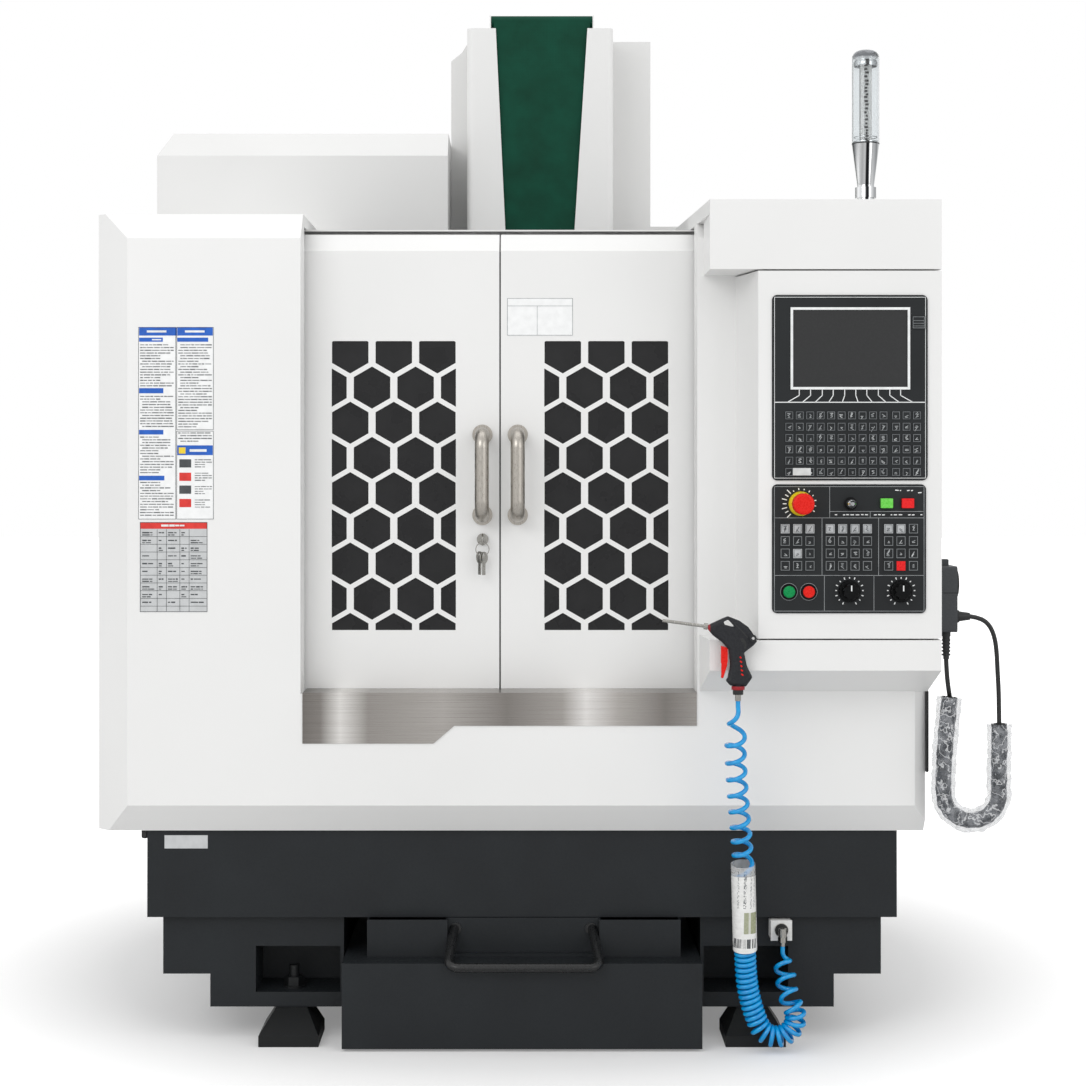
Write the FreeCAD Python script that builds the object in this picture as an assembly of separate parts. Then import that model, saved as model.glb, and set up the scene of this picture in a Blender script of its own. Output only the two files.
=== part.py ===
import FreeCAD, Part
import math
import os
from FreeCAD import Vector

# Compact vertical machining center with sliding front doors.
# Millimetres. X to the right, Y to the rear, Z up from the floor. The origin is on the
# floor under the middle of the machine, and the front faces -Y.

X_AXIS = Vector(1, 0, 0)
Y_AXIS = Vector(0, 1, 0)
Z_AXIS = Vector(0, 0, 1)

# Sheet metal and fits
SHEET = 3.0                   # folded sheet steel
RUNNING = 0.3                 # clearance of slides and soft pairs
SHAFT_FIT = 0.05              # radial clearance of turned shafts in bores
MARGIN = 1.0                  # how far a cutting body runs past the face it cuts
END_ROOM = 1.0                # room at the blind end of a bore
OUTSIDE = 100.0               # reach of the bodies that trim a part's outside
ROOM = 3000.0                 # more than the whole machine

# Enclosure skin
SKIN_LEFT = -835.0
SKIN_RIGHT = 787.0
CONSOLE_FRONT = -900.0        # front plane of control box and hood
SKIN_SETBACK = 140.0          # skin behind the console front
ENCLOSURE_BACK = 500.0
LEFT_CORNER = 69.0            # bevelled vertical corners
RIGHT_CORNER = 25.0
SKIN_BOTTOM = 415.0
LOW_BEVEL = 56.0              # height of the bottom bevel
BOTTOM_RECESS = 45.0
SKIN_TOP = 1625.0
TOP_BEVEL = 53.0
SKIN_FOOT_INSET = 115.0       # width of the skin's turned-in bottom flange at the sides
SKIN_FOOT_DEPTH = 25.0        # and at the front
FOOT_HOLE_SHIFT = 48.0        # the flange is this much narrower on the right
COLUMN_GAP_MORE = 100.0       # the skin's rear gap reaches this far left of the column cover
HEX_SIDES = 6
CURTAIN_SETBACK = 7.0
REAR_COVER_STEEP = 1.8
LAMP_DOME = 0.6               # share of the tube's radius that its top edge is rounded by
BRACKET_BEHIND = 20.0         # roller brackets
BRACKET_DROP = 40.0
BRACKET_ABOVE = 12.0
POCKET_BITE = 0.35
LOCK_INSIDE = 20.0
KEY_STEM_HALF = 4.0
KEY_HANG = ((-24, 32), (12, -35))    # lean and turn of each key on the ring, degrees
SHELF_SPARE = 50.0
TANK_RIM = 40.0
TANK_MOUTH_START = 60.0
RUNNER_INSET = 20.0

# Door opening
OPENING_LEFT = -430.0
OPENING_RIGHT = 340.0
SILL_TOP = 688.0
JAMB_DEPTH = 72.0
ROOF_FLANGE = 23.0            # turned-down edge of the roof beside the opening
LEDGE_LIP = 20.0

# Stainless sill strip over the lower part of the skin
STRIP_SHEET = 2.0
STRIP_SIDE_MARGIN = 4.0
STRIP_DEEP = 96.5
STRIP_SHALLOW = 62.0
STRIP_STEP_LEFT = -172.0
STRIP_STEP_RIGHT = -131.5

# Doors
DOOR_GAP_X = -43.5
DOOR_GAP = 3.0
DOOR_SETBACK = 85.0           # door face behind the skin
DOOR_DEPTH = 26.0
DOOR_BOTTOM = 684.3
DOOR_BEND = 1556.0
DOOR_BEVEL = 36.0
LEFT_DOOR_OUTER = -466.0
RIGHT_DOOR_OUTER = 381.0
DOOR_SHEET = 2.5

# Door windows, a field of hexagons in the door sheet with a dark pane behind
WINDOW_NEAR = 87.5            # from the gap between the doors to the window
WINDOW_WIDTH = 246.0
WINDOW_BOTTOM = 805.0
WINDOW_TOP = 1377.5
HEX_PITCH = 86.3
HEX_ROW_PITCH = 69.7
HEX_WIDTH = 72.3
HEX_TOP_ROW = 1355.0
HEX_ROWS = 9
PANE_MARGIN = 12.0
PANE_THICKNESS = 5.0

# Door handles, round bars bent to a D
HANDLE_BAR = 28.0
HANDLE_OFFSET = 35.0
HANDLE_LOW = 1019.0
HANDLE_HIGH = 1206.0
HANDLE_REACH = 60.0
HANDLE_BEND = 26.0
HANDLE_FOOT = 40.0
HANDLE_FOOT_THICKNESS = 4.0

# Lock and keys
LOCK_X = -78.0
LOCK_Z = 985.0
LOCK_BARREL = 16.0
LOCK_FLANGE = 23.0
LOCK_FLANGE_THICKNESS = 5.0
KEY_BOW = 24.0
KEY_THICKNESS = 2.4
KEY_STEM = 16.0
KEY_LENGTH = 34.0
KEY_HOLE = 6.4
RING_RADIUS = 13.0
RING_WIRE = 1.8

# Door tracks
HEADER_SETBACK = 124.0        # header face behind the skin
HEADER_DEPTH = 40.0
HEADER_HEIGHT = 62.0
HEADER_TOP = SKIN_TOP - ROOF_FLANGE
HEADER_BOTTOM = HEADER_TOP - HEADER_HEIGHT
TOP_RAIL_WIDTH = 12.0
TOP_RAIL_HEIGHT = 16.0
TOP_RAIL_RISE = 20.0           # above the header's lower edge
TOP_RAIL_BOTTOM = HEADER_BOTTOM + TOP_RAIL_RISE
LOW_RAIL_HEIGHT = 16.0
HANGER_WIDTH = 40.0
HANGER_HEIGHT = 22.0
HANGER_INSET = 60.0

# Control box, shelf and hood
BOX_LEFT = 443.0
BOX_LEFT_BACK = 414.0
BOX_BOTTOM = 806.0
BOX_TOP = 1496.0
HOOD_BOTTOM = 1499.0
HOOD_OVERLAP = 5.0             # the hood caps the roof
HOOD_TOP = SKIN_TOP + HOOD_OVERLAP
HOOD_LEFT = 352.5
HOOD_LEFT_BACK = 322.0
HOOD_DEPTH = 520.0
HOOD_TAIL_DROP = 22.0
HOOD_TAIL_BOTTOM = SKIN_TOP - HOOD_TAIL_DROP
SHELF_TOP = 803.0
SHELF_FRONT_BOTTOM = 746.0
SHELF_BACK_BOTTOM = 693.0
SHELF_LEFT = 352.0
SHELF_LEFT_BACK = 344.0
SHELF_RIGHT = 787.0

# Display unit and operator panel
DISPLAY_LEFT = 469.0
DISPLAY_RIGHT = 760.0
DISPLAY_BOTTOM = 1103.0
DISPLAY_TOP = 1450.0
PANEL_LEFT = 469.0
PANEL_RIGHT = 757.0
PANEL_BOTTOM = 854.0
PANEL_TOP = 1095.0
UNIT_CORNER = 10.0
UNIT_PROUD = 3.0              # how far both units stand out of the box
UNIT_DEPTH = 34.0
UNIT_GAP = 0.5
SCREEN_LEFT = 503.0
SCREEN_RIGHT = 727.0
SCREEN_BOTTOM = 1273.0
SCREEN_TOP = 1427.0
SCREEN_FRAME = 4.7
FRAME_PROUD = 1.2
SCREEN_SINK = 2.0
CARD_COVER = 25.0
CARD_COVER_LEFT = 730.5
CARD_COVER_BOTTOM = 1386.0
KEY_PROUD = 1.6
SMALL_KEY = 15.0
SMALL_KEY_PITCH = 19.6
SMALL_KEY_ROWS = 6
SMALL_KEY_COLUMNS = 10
SMALL_KEYS_LEFT = 493.0
SMALL_KEYS_TOP = 1232.0
SMALL_KEY_ROW_PITCH = 21.2
SIDE_KEYS_LEFT = 693.0
SIDE_KEY_COLUMNS = 3
PANEL_KEY_WIDTH = 18.5
PANEL_KEY_HEIGHT = 19.5
PANEL_KEY_PITCH = 23.2
PANEL_KEY_ROWS = 4
PANEL_KEYS_TOP = 1022.0
PANEL_KEY_BLOCKS = ((483.6, 3), (568.0, 4), (677.3, 3))   # left edge, columns

# Push buttons, knobs and switch on the operator panel
ESTOP_X = 522.5
ESTOP_Z = 1059.0
ESTOP_CAP = 40.0
ESTOP_CAP_DEPTH = 22.0
ESTOP_NECK = 22.0
ESTOP_COLLAR = 46.0
ESTOP_COLLAR_DEPTH = 19.0
ESTOP_REACH = 50.0            # cap front to console front
ESTOP_NECK_INSIDE = 16.0
ESTOP_NECK_START = 10.0
ESTOP_CAP_ROUND = 5.0
RUNOUT = 10.0                 # bores start this far in front of the panel
SEAT_INSET = 20.0             # seats behind the panels
SEAT_DEPTH = 2.0
SQUARE_BUTTON_Z = 1060.0
POWER_ON_X = 682.5
POWER_OFF_X = 722.0
SQUARE_BUTTON_WIDTH = 22.5
SQUARE_BUTTON_HEIGHT = 18.0
ROUND_BUTTON_Z = 894.0
START_X = 500.0
HOLD_X = 537.0
ROUND_BUTTON = 22.0
BUTTON_RING = 28.0
BUTTON_RING_PROUD = 3.0
BUTTON_PROUD = 8.0
BUTTON_INSIDE = 10.0
BUTTON_TRAVEL = 3.0
KNOB_Z = 895.0
FEED_KNOB_X = 613.5
SPINDLE_KNOB_X = 710.3
KNOB_SKIRT = 42.0
KNOB_SKIRT_DEPTH = 7.0
KNOB_GRIP = 30.0
KNOB_DEPTH = 25.0
KNOB_SHAFT = 6.0
KNOB_SHAFT_INSIDE = 14.0
KNOB_SKIRT_TAPER = 3.0
KNOB_DRAFT = 2.0
KNOB_FLUTES = 8
KNOB_FLUTE = 10.0
KNOB_FLUTE_OUTSIDE = 3.0
POINTER = 1.0
POINTER_LENGTH = 12.0
CAP_CHAMFER = 1.5
SWITCH_X = 615.0
SWITCH_Z = 1059.0
SWITCH_NUT = 22.0
SWITCH_NUT_PROUD = 4.0
SWITCH_BALL = 12.0
SWITCH_LEVER = 7.0
SWITCH_TIP = 13.0
SWITCH_REACH = 24.0
SWITCH_ROOT = 5.0
SWITCH_SHOULDER = 0.6         # share of half the tip that its cones take

# Signal lamp
LAMP_X = 657.0
LAMP_SETBACK = 80.0
LAMP_RING = 40.0
LAMP_RING_FOOT = 12.0
LAMP_RING_TOP = 32.0
LAMP_NECK = 32.0
LAMP_NECK_TOP = 36.0
LAMP_TUBE = 52.0
LAMP_TUBE_BOTTOM = 116.0      # above the hood
LAMP_TUBE_TOP = 294.0
LAMP_WALL = 2.0
LAMP_STEM = 9.0
LAMP_SEAT = 48.0

# Magazine cover, column and rear covers
MAGAZINE_RIGHT = -170.0
MAGAZINE_FRONT = -19.0
MAGAZINE_RISE = 274.0          # above the roof
MAGAZINE_BEND_DROP = 58.0
MAGAZINE_TOP = SKIN_TOP + MAGAZINE_RISE
MAGAZINE_BEND = MAGAZINE_TOP - MAGAZINE_BEND_DROP
MAGAZINE_BEVEL = 50.0
MAGAZINE_CORNER = 30.0
COLUMN_COVER_LEFT = -128.0
COLUMN_COVER_RIGHT = 212.0
COLUMN_COVER_FRONT = 60.0
COVER_RISE = 524.0             # above the roof
COVER_GAP = 15.0
COVER_TOP = SKIN_TOP + COVER_RISE
COLUMN_COVER_BOTTOM = SKIN_TOP + COVER_GAP
COLUMN_COVER_ROUND = 14.0
COVER_SLOT_LEFT_TOP = -61.0
COVER_SLOT_RIGHT_TOP = 152.0
COVER_SLOT_LEFT_LOW = -38.0
COVER_SLOT_RIGHT_LOW = 121.0
COVER_SLOT_SILL = 25.0
COVER_SLOT_LOW = COLUMN_COVER_BOTTOM + COVER_SLOT_SILL
REAR_COVER_RIGHT = 308.0
REAR_COVER_FRONT = 220.0
REAR_COVER_SLANT = 26.0
ROLLER_LEFT = -72.0
ROLLER_RIGHT = 164.0
ROLLER_DIAMETER = 30.0
ROLLER_RISE = 18.0             # above the covers
ROLLER_Z = COVER_TOP + ROLLER_RISE
ROLLER_PIN = 8.0
ROLLER_BRACKET = 3.0
CURTAIN_LEFT = -66.0
CURTAIN_RIGHT = 158.0
CURTAIN_THICKNESS = 2.0

# Bed casting
BED_TUNNEL = 352.0            # half the width of the tunnel for tank and drawer
BED_FRONT = -685.0
BED_BACK = 600.0
BED_HALF_WIDTH = 709.0
BED_FOOT_HALF_WIDTH = 616.0
BED_BOTTOM = 62.0
BED_STEP = 127.0
BED_TOP = 243.0
DECK_HALF_WIDTH = 560.0
DECK_FRONT = -640.0
DECK_TOP = 412.0
CHIP_OPENING_HALF = 230.0
CHIP_OPENING_FRONT = -520.0
CHIP_OPENING_BACK = -120.0
BED_WINDOW_NEAR = 359.0
BED_WINDOW_FAR = 526.0
BED_WINDOW_BOTTOM = 91.0
BED_WINDOW_TOP = 182.0
BED_WINDOW_DEPTH = 120.0
MACHINE_X = 42.0              # middle of spindle, table and column
WAY_HALF_SPACING = 150.0
WAY_PEDESTAL_HALF = 40.0
WAY_TOP = 600.0
WAY_FRONT = -615.0
WAY_BACK = 205.0
RAIL_WIDTH = 28.0
RAIL_HEIGHT = 26.0

# Splash tray round the deck
TRAY_HALF_WIDTH = 737.0
TRAY_FRONT = -705.0
TRAY_BACK = 620.0
TRAY_SHEET = 4.0

# Levelling feet
FOOT_X = 454.5
FOOT_HALF_WIDTH = 58.5
FOOT_TOP_HALF_WIDTH = 31.0
FOOT_TOE = -752.0
FOOT_HEEL = -618.0
FOOT_LIP = 21.0
FOOT_SLOPE = 60.0
FOOT_STUD_Y = -640.0
STUD = 20.0
STUD_HOLE_CLEARANCE = 3.0
STUD_TOP = 135.0
STUD_NUT = 34.0
STUD_NUT_HEIGHT = 18.0
STUD_WASHER = 44.0
STUD_WASHER_HEIGHT = 4.0

# Column casting
COLUMN_HALF_WIDTH = 160.0
COLUMN_FOOT_HALF_WIDTH = 260.0
COLUMN_FRONT = 210.0
COLUMN_BACK = 600.0
COLUMN_FOOT_TOP = 700.0
COLUMN_CLEARANCE = 49.0        # under the covers
COLUMN_TOP = COVER_TOP - COLUMN_CLEARANCE
COLUMN_SHOULDER = 180.0
COLUMN_WAY_HALF = 100.0
COLUMN_WAY_LOW = 860.0
COLUMN_WAY_HIGH = 1600.0
MAGAZINE_ARM_LOW = 1500.0
MAGAZINE_ARM_HIGH = 1580.0
MAGAZINE_ARM_WIDTH = 80.0
MAGAZINE_ARM_BACK = 320.0

# Saddle and table
SPINDLE_Y = -200.0
SADDLE_FRONT = -400.0
SADDLE_BACK = -10.0
SADDLE_HALF_WIDTH = 230.0
SADDLE_BOTTOM = 640.0
SADDLE_TOP = 700.0
BLOCK_HALF_WIDTH = 34.0
BLOCK_HALF_LENGTH = 45.0
BLOCK_LIFT = 8.0              # bearing block above the foot of its rail
TABLE_HALF_LENGTH = 380.0
TABLE_HALF_DEPTH = 160.0
TABLE_BOTTOM = 742.0
TABLE_TOP = 800.0
TABLE_RAIL_HALF_SPACING = 110.0
TABLE_BLOCK_HALF_SPACING = 53.0
TABLE_RAIL_HEIGHT = 28.0
TABLE_EDGE = 10.0
T_SLOTS = 3
T_SLOT_PITCH = 100.0
T_SLOT_NECK = 14.0
T_SLOT_FOOT = 24.0
T_SLOT_NECK_DEPTH = 14.0
T_SLOT_FOOT_DEPTH = 10.0
SCREW = 24.0
SCREW_Z = 621.0
SCREW_BLOCK = 30.0
SCREW_SEAT_HALF = 26.0        # half width of the blocks and nuts round the ball screws
SEAT_GAP = 8.0
BRIDGE_HALF = 22.0
BRIDGE_ABOVE = 16.0
NUT_HALF_LENGTH = 35.0
NUT_HALF_WIDTH = 24.0
NUT_BELOW_WAY = 4.0
NUT_UNDER_TABLE = 1.5
NUT_BORE_HALF = 40.0
HEAD_NUT_HALF = 40.0
HEAD_NUT_BEHIND = 14.0
TABLE_SEAT_HALF = 20.0
TABLE_SEAT_GAP = 2.0
BLOCK_INSET = 60.0
HEAD_BLOCK_INSET = 70.0
CHANNEL_HALF = 55.0           # channel in the column for the head's screw
CHANNEL_DEPTH = 60.0
HEM_BAR = 2.0                 # how far the hem bar stands past the curtain
POST_HALF = 30.0
POST_ROOT = 10.0

# Spindle head
HEAD_HALF_WIDTH = 75.0
HEAD_FRONT = -290.0
HEAD_BACK = 100.0
HEAD_BOTTOM = 1290.0
HEAD_TOP = 1500.0
MOTOR_HALF_WIDTH = 66.0
MOTOR_FRONT = -266.0
MOTOR_BACK = -134.0
MOTOR_TOP = 1632.0
SLIDE_HALF_WIDTH = 140.0
SLIDE_FRONT = 100.0
SLIDE_BACK = 160.0
SLIDE_BOTTOM = 1200.0
SLIDE_TOP = 1560.0
HEAD_BLOCK_HALF_LENGTH = 50.0
NOSE_DIAMETER = 92.0
NOSE_FLANGE = 110.0
NOSE_DROP = 50.0
NOSE_INSIDE = 90.0
TAPER_MOUTH = 31.75
TAPER_SMALL = 17.8
TAPER_DEPTH = 48.0
NOSE_STEP = 20.0
DRAWBAR_HOLE = 13.8
DRAWBAR_DEPTH = 60.0
DRIVE_KEY = 16.0
DRIVE_KEY_REACH = 26.0
CURTAIN_HEM = 20.0
HEAD_CORNER = 18.0

# Tool carousel
CAROUSEL_X = -500.0
CAROUSEL_Y = -150.0
CAROUSEL_RADIUS = 210.0
CAROUSEL_TOP = 1480.0
CAROUSEL_THICKNESS = 24.0
CAROUSEL_SHAFT = 40.0
CAROUSEL_POCKETS = 12
CAROUSEL_POCKET = 44.0
CAROUSEL_HUB = 120.0

# Coolant tank and chip drawer
TANK_HALF_WIDTH = 348.0
TANK_FRONT = -785.0
TANK_BACK = -60.0
TANK_BOTTOM = 5.0
TANK_TOP = 170.0
TANK_SHEET = 3.0
TANK_RUNNER_WIDTH = 40.0
TANK_RUNNER_X = 260.0
DRAWER_LEFT = -303.0
DRAWER_RIGHT = 310.0
DRAWER_FRONT = -730.0
DRAWER_BACK = -150.0
DRAWER_SHEET = 3.0
RECESS_LEFT = -146.0
RECESS_RIGHT = 151.0
RECESS_DEPTH = 20.0
TANK_COVER_BACK = -140.0
BAR = 18.0
BAR_ARM_LEFT = -133.0
BAR_ARM_RIGHT = 138.0
BAR_LEFT = -143.0
BAR_RIGHT = 151.0
BAR_SEAT_Z = 222.0
BAR_Z = 168.0
BAR_FRONT = -812.0
BAR_BEND = 20.0

# Electrical cabinet behind the column
CABINET_LEFT = -420.0
CABINET_RIGHT = 500.0
CABINET_FRONT = 610.0
CABINET_BACK = 915.0
CABINET_BOTTOM = 430.0
CABINET_TOP = 1750.0
CABINET_DOOR_THICKNESS = 30.0
CABINET_DOOR_GAP = 2.0
CABINET_RIM = 25.0
HINGE_PIN = 10.0
HINGE_LENGTH = 60.0
HINGE_DROP = 200.0
HINGE_SETBACK = 9.0
HINGE_BARREL = 18.0
HINGE_LEAF = 4.0
HINGE_LEAF_REACH = 20.0
CABINET_DOOR_EDGE = 2.0
LATCH_INSET = 30.0
LATCH_WIDTH = 25.0
LATCH_PROUD = 3.0
LATCH_HALF = 60.0
MOUNT_SIDE = 60.0             # plate inside the cabinet that carries the gear
MOUNT_END = 80.0
MOUNT_THICKNESS = 20.0
CABINET_ARM_RISE = 100.0
CABINET_ARM_DROP = 20.0

# Air outlet, air gun and hose
OUTLET_X = 508.0
OUTLET_Z = 220.0
OUTLET_HALF_WIDTH = 21.0
OUTLET_HALF_HEIGHT = 19.0
OUTLET_THICKNESS = 10.0
OUTLET_SEAT = 6.0             # how far the plate stands in front of its own tray cover
OUTLET_ROUND = 4.0
OUTLET_SPIGOT = 14.0
SPIGOT_REACH = 20.0
ELBOW = 16.0
ELBOW_BELOW = 10.0
ELBOW_ABOVE = 8.0
OUTLET_TAIL = 10.5
TAIL_BELOW = 26.0
GUN_Y = -920.0
GUN_THICKNESS = 22.0
GUN_ROUND = 5.0
TRIGGER_PIN = 4.0
TRIGGER_PIN_HALF = 7.0
PEG_X = 429.0
PEG_Z = 799.0
PEG = 6.0
PEG_HEAD = 11.0
PEG_REACH = 36.0
PEG_RISE = 10.0               # the peg slants up to its head
PEG_HEAD_LENGTH = 3.0
HANG_DROP = 9.0               # the gun's own origin is this far under the middle of its hole
GUN_OUTLINE = [
    (-83, 37), (-55, 50), (-45, 54), (-24, 46), (-7, 34), (7, 14), (9, 7), (3, 0),
    (-15, -14), (-11, -33), (-4, -60), (-12, -77), (-41, -75), (-46, -66), (-41, -60),
    (-41, -33), (-44, -9), (-57, 6), (-73, 18), (-83, 30),
]
GUN_LOOP = [(-54, 44), (-45, 48), (-31, 33), (-51, 38)]
GUN_FOOT_X = -26.0
GUN_RING_Z = -84.0
GUN_RING_LENGTH = 12.0
GUN_RING = 18.0
GUN_NUT = 15.0
GUN_NUT_LENGTH = 9.0
GUN_TAIL = 11.0
GUN_FITTING_DROP = 104.0
TRIGGER_SLOT_LEFT = -62.0
TRIGGER_SLOT_RIGHT = -38.0
TRIGGER_SLOT_LOW = -42.0
TRIGGER_SLOT_HIGH = 8.0
TRIGGER_SLOT_HALF = 4.0
TRIGGER_HALF = 3.7
TRIGGER_PIN_X = -51.0
TRIGGER_PIN_Z = -7.0
TRIGGER_OUTLINE = [
    (-58, -1), (-45.5, -5), (-45.5, -30), (-50, -48), (-56, -60), (-58, -60), (-54, -46), (-58, -32),
]
NOZZLE = 6.0
NOZZLE_START = Vector(-79, 0, 34)
NOZZLE_REACH = Vector(-88, 0, 12)
NOZZLE_COLLAR = 7.0
COLLAR_SHIFT = Vector(-3.9, 0, 0.5)
NOZZLE_BORE = 8.0
NOZZLE_BORE_X = -100.0
NOZZLE_BORE_Z = 33.0
NOZZLE_BORE_LENGTH = 20.0
HOSE = 7.5
HOSE_SIDES = 6
COIL_RADIUS = 18.5            # middle of the hose to the axis of the coil
SLEEVE_RADIUS = 24.5
SLEEVE_WALL = 1.0
SLEEVE_TOP = 372.0
SLEEVE_BOTTOM = 203.0
BUNDLE_X = 470.0              # middle of the half circle that the coil makes near the floor
BUNDLE_Y = -792.0
BUNDLE_Z = 66.0
BUNDLE_RADIUS = 41.0
STRETCHED_TURNS = 9.0
SLEEVE_TURNS = 3.0
CLOSE_TURNS = 13.5
BEND_TURNS = 8.0
TAIL_TURNS = 3.0
TOP_TURNS = 0.6
END_TURNS = 0.3
COIL_RAMP = 26.0              # length over which a coil's end grows to its full radius
HOSE_LEAVES = Vector(-1, 5, -26)
HOSE_DOWN = [
    Vector(400, -893, 615), Vector(405, -872, 540), Vector(413, -855, 460), Vector(421, -838, 380),
    Vector(425, -820, 290), Vector(428, -803, 200), Vector(429, -794, 130),
]
HOSE_UP = [Vector(511, -782, 104), Vector(511, -763, 140), Vector(509, -747, 168)]
BUNDLE_STEPS = 6
DOWN_SHARE = 0.7              # the sleeve sits in the part of the hose that hangs down
PROBE_STEP = 1.5              # spacing of the points on which gaps between turns are measured
PROBE_CELL = 12.0

# Hand-wheel pendant
PENDANT_FRONT = -840.0
PENDANT_BACK = -760.0
PENDANT_BOTTOM = 813.0
PENDANT_TOP = 938.5
PENDANT_THICKNESS = 42.0
PENDANT_SEAM = 888.0
PENDANT_ROUND = 6.0
LUG_HEIGHT = 12.5
LUG_SETBACK = 12.0
LUG_INSET = 25.0
SEAM_HALF = 0.8
SEAM_DEPTH = 2.0
DIMPLE = 9.0
DIMPLE_DEPTH = 1.5
GLAND_NUT = 10.0
GLAND_NECK = 20.0
GLAND_END = 14.0
RELIEF_NUT = 17.0
RELIEF_SHIFT = 8.0
RELIEF_RIBS = 5
RIB = 16.5
RIB_START = 16.0
RIB_PITCH = 7.0
RIB_WIDTH = 3.0
CURLY_Y = -780.0
CURLY_POINTS = [
    (826, 684), (820.5, 632), (815.5, 580), (814, 528), (813.5, 477.4), (845.4, 445.5),
    (890.6, 445.5), (922.5, 477.4), (920.5, 529), (922.3, 581), (921.5, 632),
]
LEAD_DOWN = [(816, 0, 734), (820, 8, 709)]
LEAD_BACK = [
    (882, 0, 838), (900, 2, 823), (910, 5, 799), (914.5, 9, 768), (917, 14, 733), (920, 18, 698),
    (921, 20, 664),
]
DIAL_Z = 905.0
DIAL = 54.0
DIAL_THICKNESS = 5.7
DIAL_SHAFT = 8.0
DIAL_SHAFT_INSIDE = 15.0
GLAND_Z = 841.0
GLAND = 24.0
GLAND_LENGTH = 31.0
RELIEF_X = 823.0
RELIEF_TOP_RADIUS = 7.5
RELIEF_LOW_RADIUS = 5.6
RELIEF_LENGTH = 54.0
LEAD = 9.0
CURLY = 25.0
WRAP_RADIUS = 23.0
WRAP_BORE = 13.4
WRAP_SIDES = 12
LEAD_SIDES = 8

SKIN_FRONT = CONSOLE_FRONT + SKIN_SETBACK
DOOR_FRONT = SKIN_FRONT + DOOR_SETBACK
DOOR_BACK = DOOR_FRONT + DOOR_DEPTH
HEADER_FRONT = SKIN_FRONT + HEADER_SETBACK
HEADER_BACK = HEADER_FRONT + HEADER_DEPTH
UNIT_FRONT = CONSOLE_FRONT - UNIT_PROUD
DRAWER_TOP = BED_TOP - RUNNING

PARTS = {}


# ------------------------------------------------------------------ helpers
def box(x0, x1, y0, y1, z0, z1):
    """A box between two values on each axis."""
    return Part.makeBox(x1 - x0, y1 - y0, z1 - z0, Vector(x0, y0, z0))


def rod(x, y, z, axis, length, diameter):
    """A round bar that starts at a point and runs along an axis."""
    return Part.makeCylinder(diameter / 2, length, Vector(x, y, z), axis)


def cone(x, y, z, axis, length, start_diameter, end_diameter):
    return Part.makeCone(start_diameter / 2, end_diameter / 2, length, Vector(x, y, z), axis)


def prism(points, direction):
    """A closed outline of vectors, extruded."""
    wire = Part.makePolygon(list(points) + [points[0]])
    return Part.Face(wire).extrude(direction)


def plan_prism(outline, z0, z1):
    """An outline of (x, y) points, extruded upwards."""
    return prism([Vector(x, y, z0) for x, y in outline], Vector(0, 0, z1 - z0))


def side_prism(outline, x0, x1):
    """An outline of (y, z) points, extruded to the right."""
    return prism([Vector(x0, y, z) for y, z in outline], Vector(x1 - x0, 0, 0))


def front_prism(outline, y0, y1):
    """An outline of (x, z) points, extruded to the rear."""
    return prism([Vector(x, y0, z) for x, z in outline], Vector(0, y1 - y0, 0))


def straight_edges(shape, axis, keep=None):
    """The straight edges of a shape that run along an axis."""
    found = []
    for edge in shape.Edges:
        if not isinstance(edge.Curve, Part.Line):
            continue
        along = edge.tangentAt(edge.FirstParameter)
        if abs(abs(along.dot(axis)) - 1) > 1e-6:
            continue
        if keep is None or keep(edge.CenterOfMass):
            found.append(edge)
    return found


def rounded(shape, radius, axis, keep=None):
    """The shape with its edges along an axis rounded."""
    return shape.makeFillet(radius, straight_edges(shape, axis, keep))


def fused(first, *others):
    """One solid from pieces that touch or overlap."""
    shape = first.fuse(list(others))
    return shape.removeSplitter()


def group(shapes):
    return Part.makeCompound(list(shapes))


def mirrored_x(shape):
    """The shape mirrored about the middle plane of the frame."""
    return shape.mirror(Vector(0, 0, 0), X_AXIS)


def moved(shape, x, y, z):
    copy = shape.copy()
    copy.translate(Vector(x, y, z))
    return copy


def add(name, shape):
    PARTS[name] = shape


def cornered(points, ratio=0.45, radius=None, note=None):
    """A wire of straight runs joined by tangent arcs, through a list of vectors.

    Each arc's radius is the given one, or the ratio of the shorter run beside it,
    divided by the tangent of half the turn."""
    edges = []
    radii = []
    start = points[0]
    for before, here, after in zip(points, points[1:], points[2:]):
        along_in = (here - before).normalize()
        along_out = (after - here).normalize()
        turn = along_in.getAngle(along_out)
        shorter = min((here - before).Length, (after - here).Length)
        set_back = ratio * shorter
        if radius is not None:
            set_back = radius * math.tan(turn / 2)
        arc_radius = set_back / math.tan(turn / 2)
        radii.append(arc_radius)
        arc_start = here - along_in * set_back
        arc_end = here + along_out * set_back
        inward = (along_out - along_in).normalize()
        middle = here + inward * (arc_radius / math.cos(turn / 2) - arc_radius)
        edges.append(Part.LineSegment(start, arc_start).toShape())
        edges.append(Part.Arc(arc_start, middle, arc_end).toShape())
        start = arc_end
    edges.append(Part.LineSegment(start, points[-1]).toShape())
    if note is not None:
        print(note, "radii", [round(value, 1) for value in radii])
    return Part.Wire(edges)


def tube_along(wire, diameter, sides=0):
    """A bar along a wire, round or with a number of flat sides."""
    start = wire.Edges[0].firstVertex().Point
    along = wire.Edges[0].tangentAt(wire.Edges[0].FirstParameter)
    section = Part.makeCircle(diameter / 2, start, along)
    if sides:
        corners = [section.valueAt(2 * math.pi * corner / sides) for corner in range(sides)]
        section = Part.makePolygon(corners + corners[:1])
    return wire.makePipeShell([Part.Wire(section)], True, False)


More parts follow.
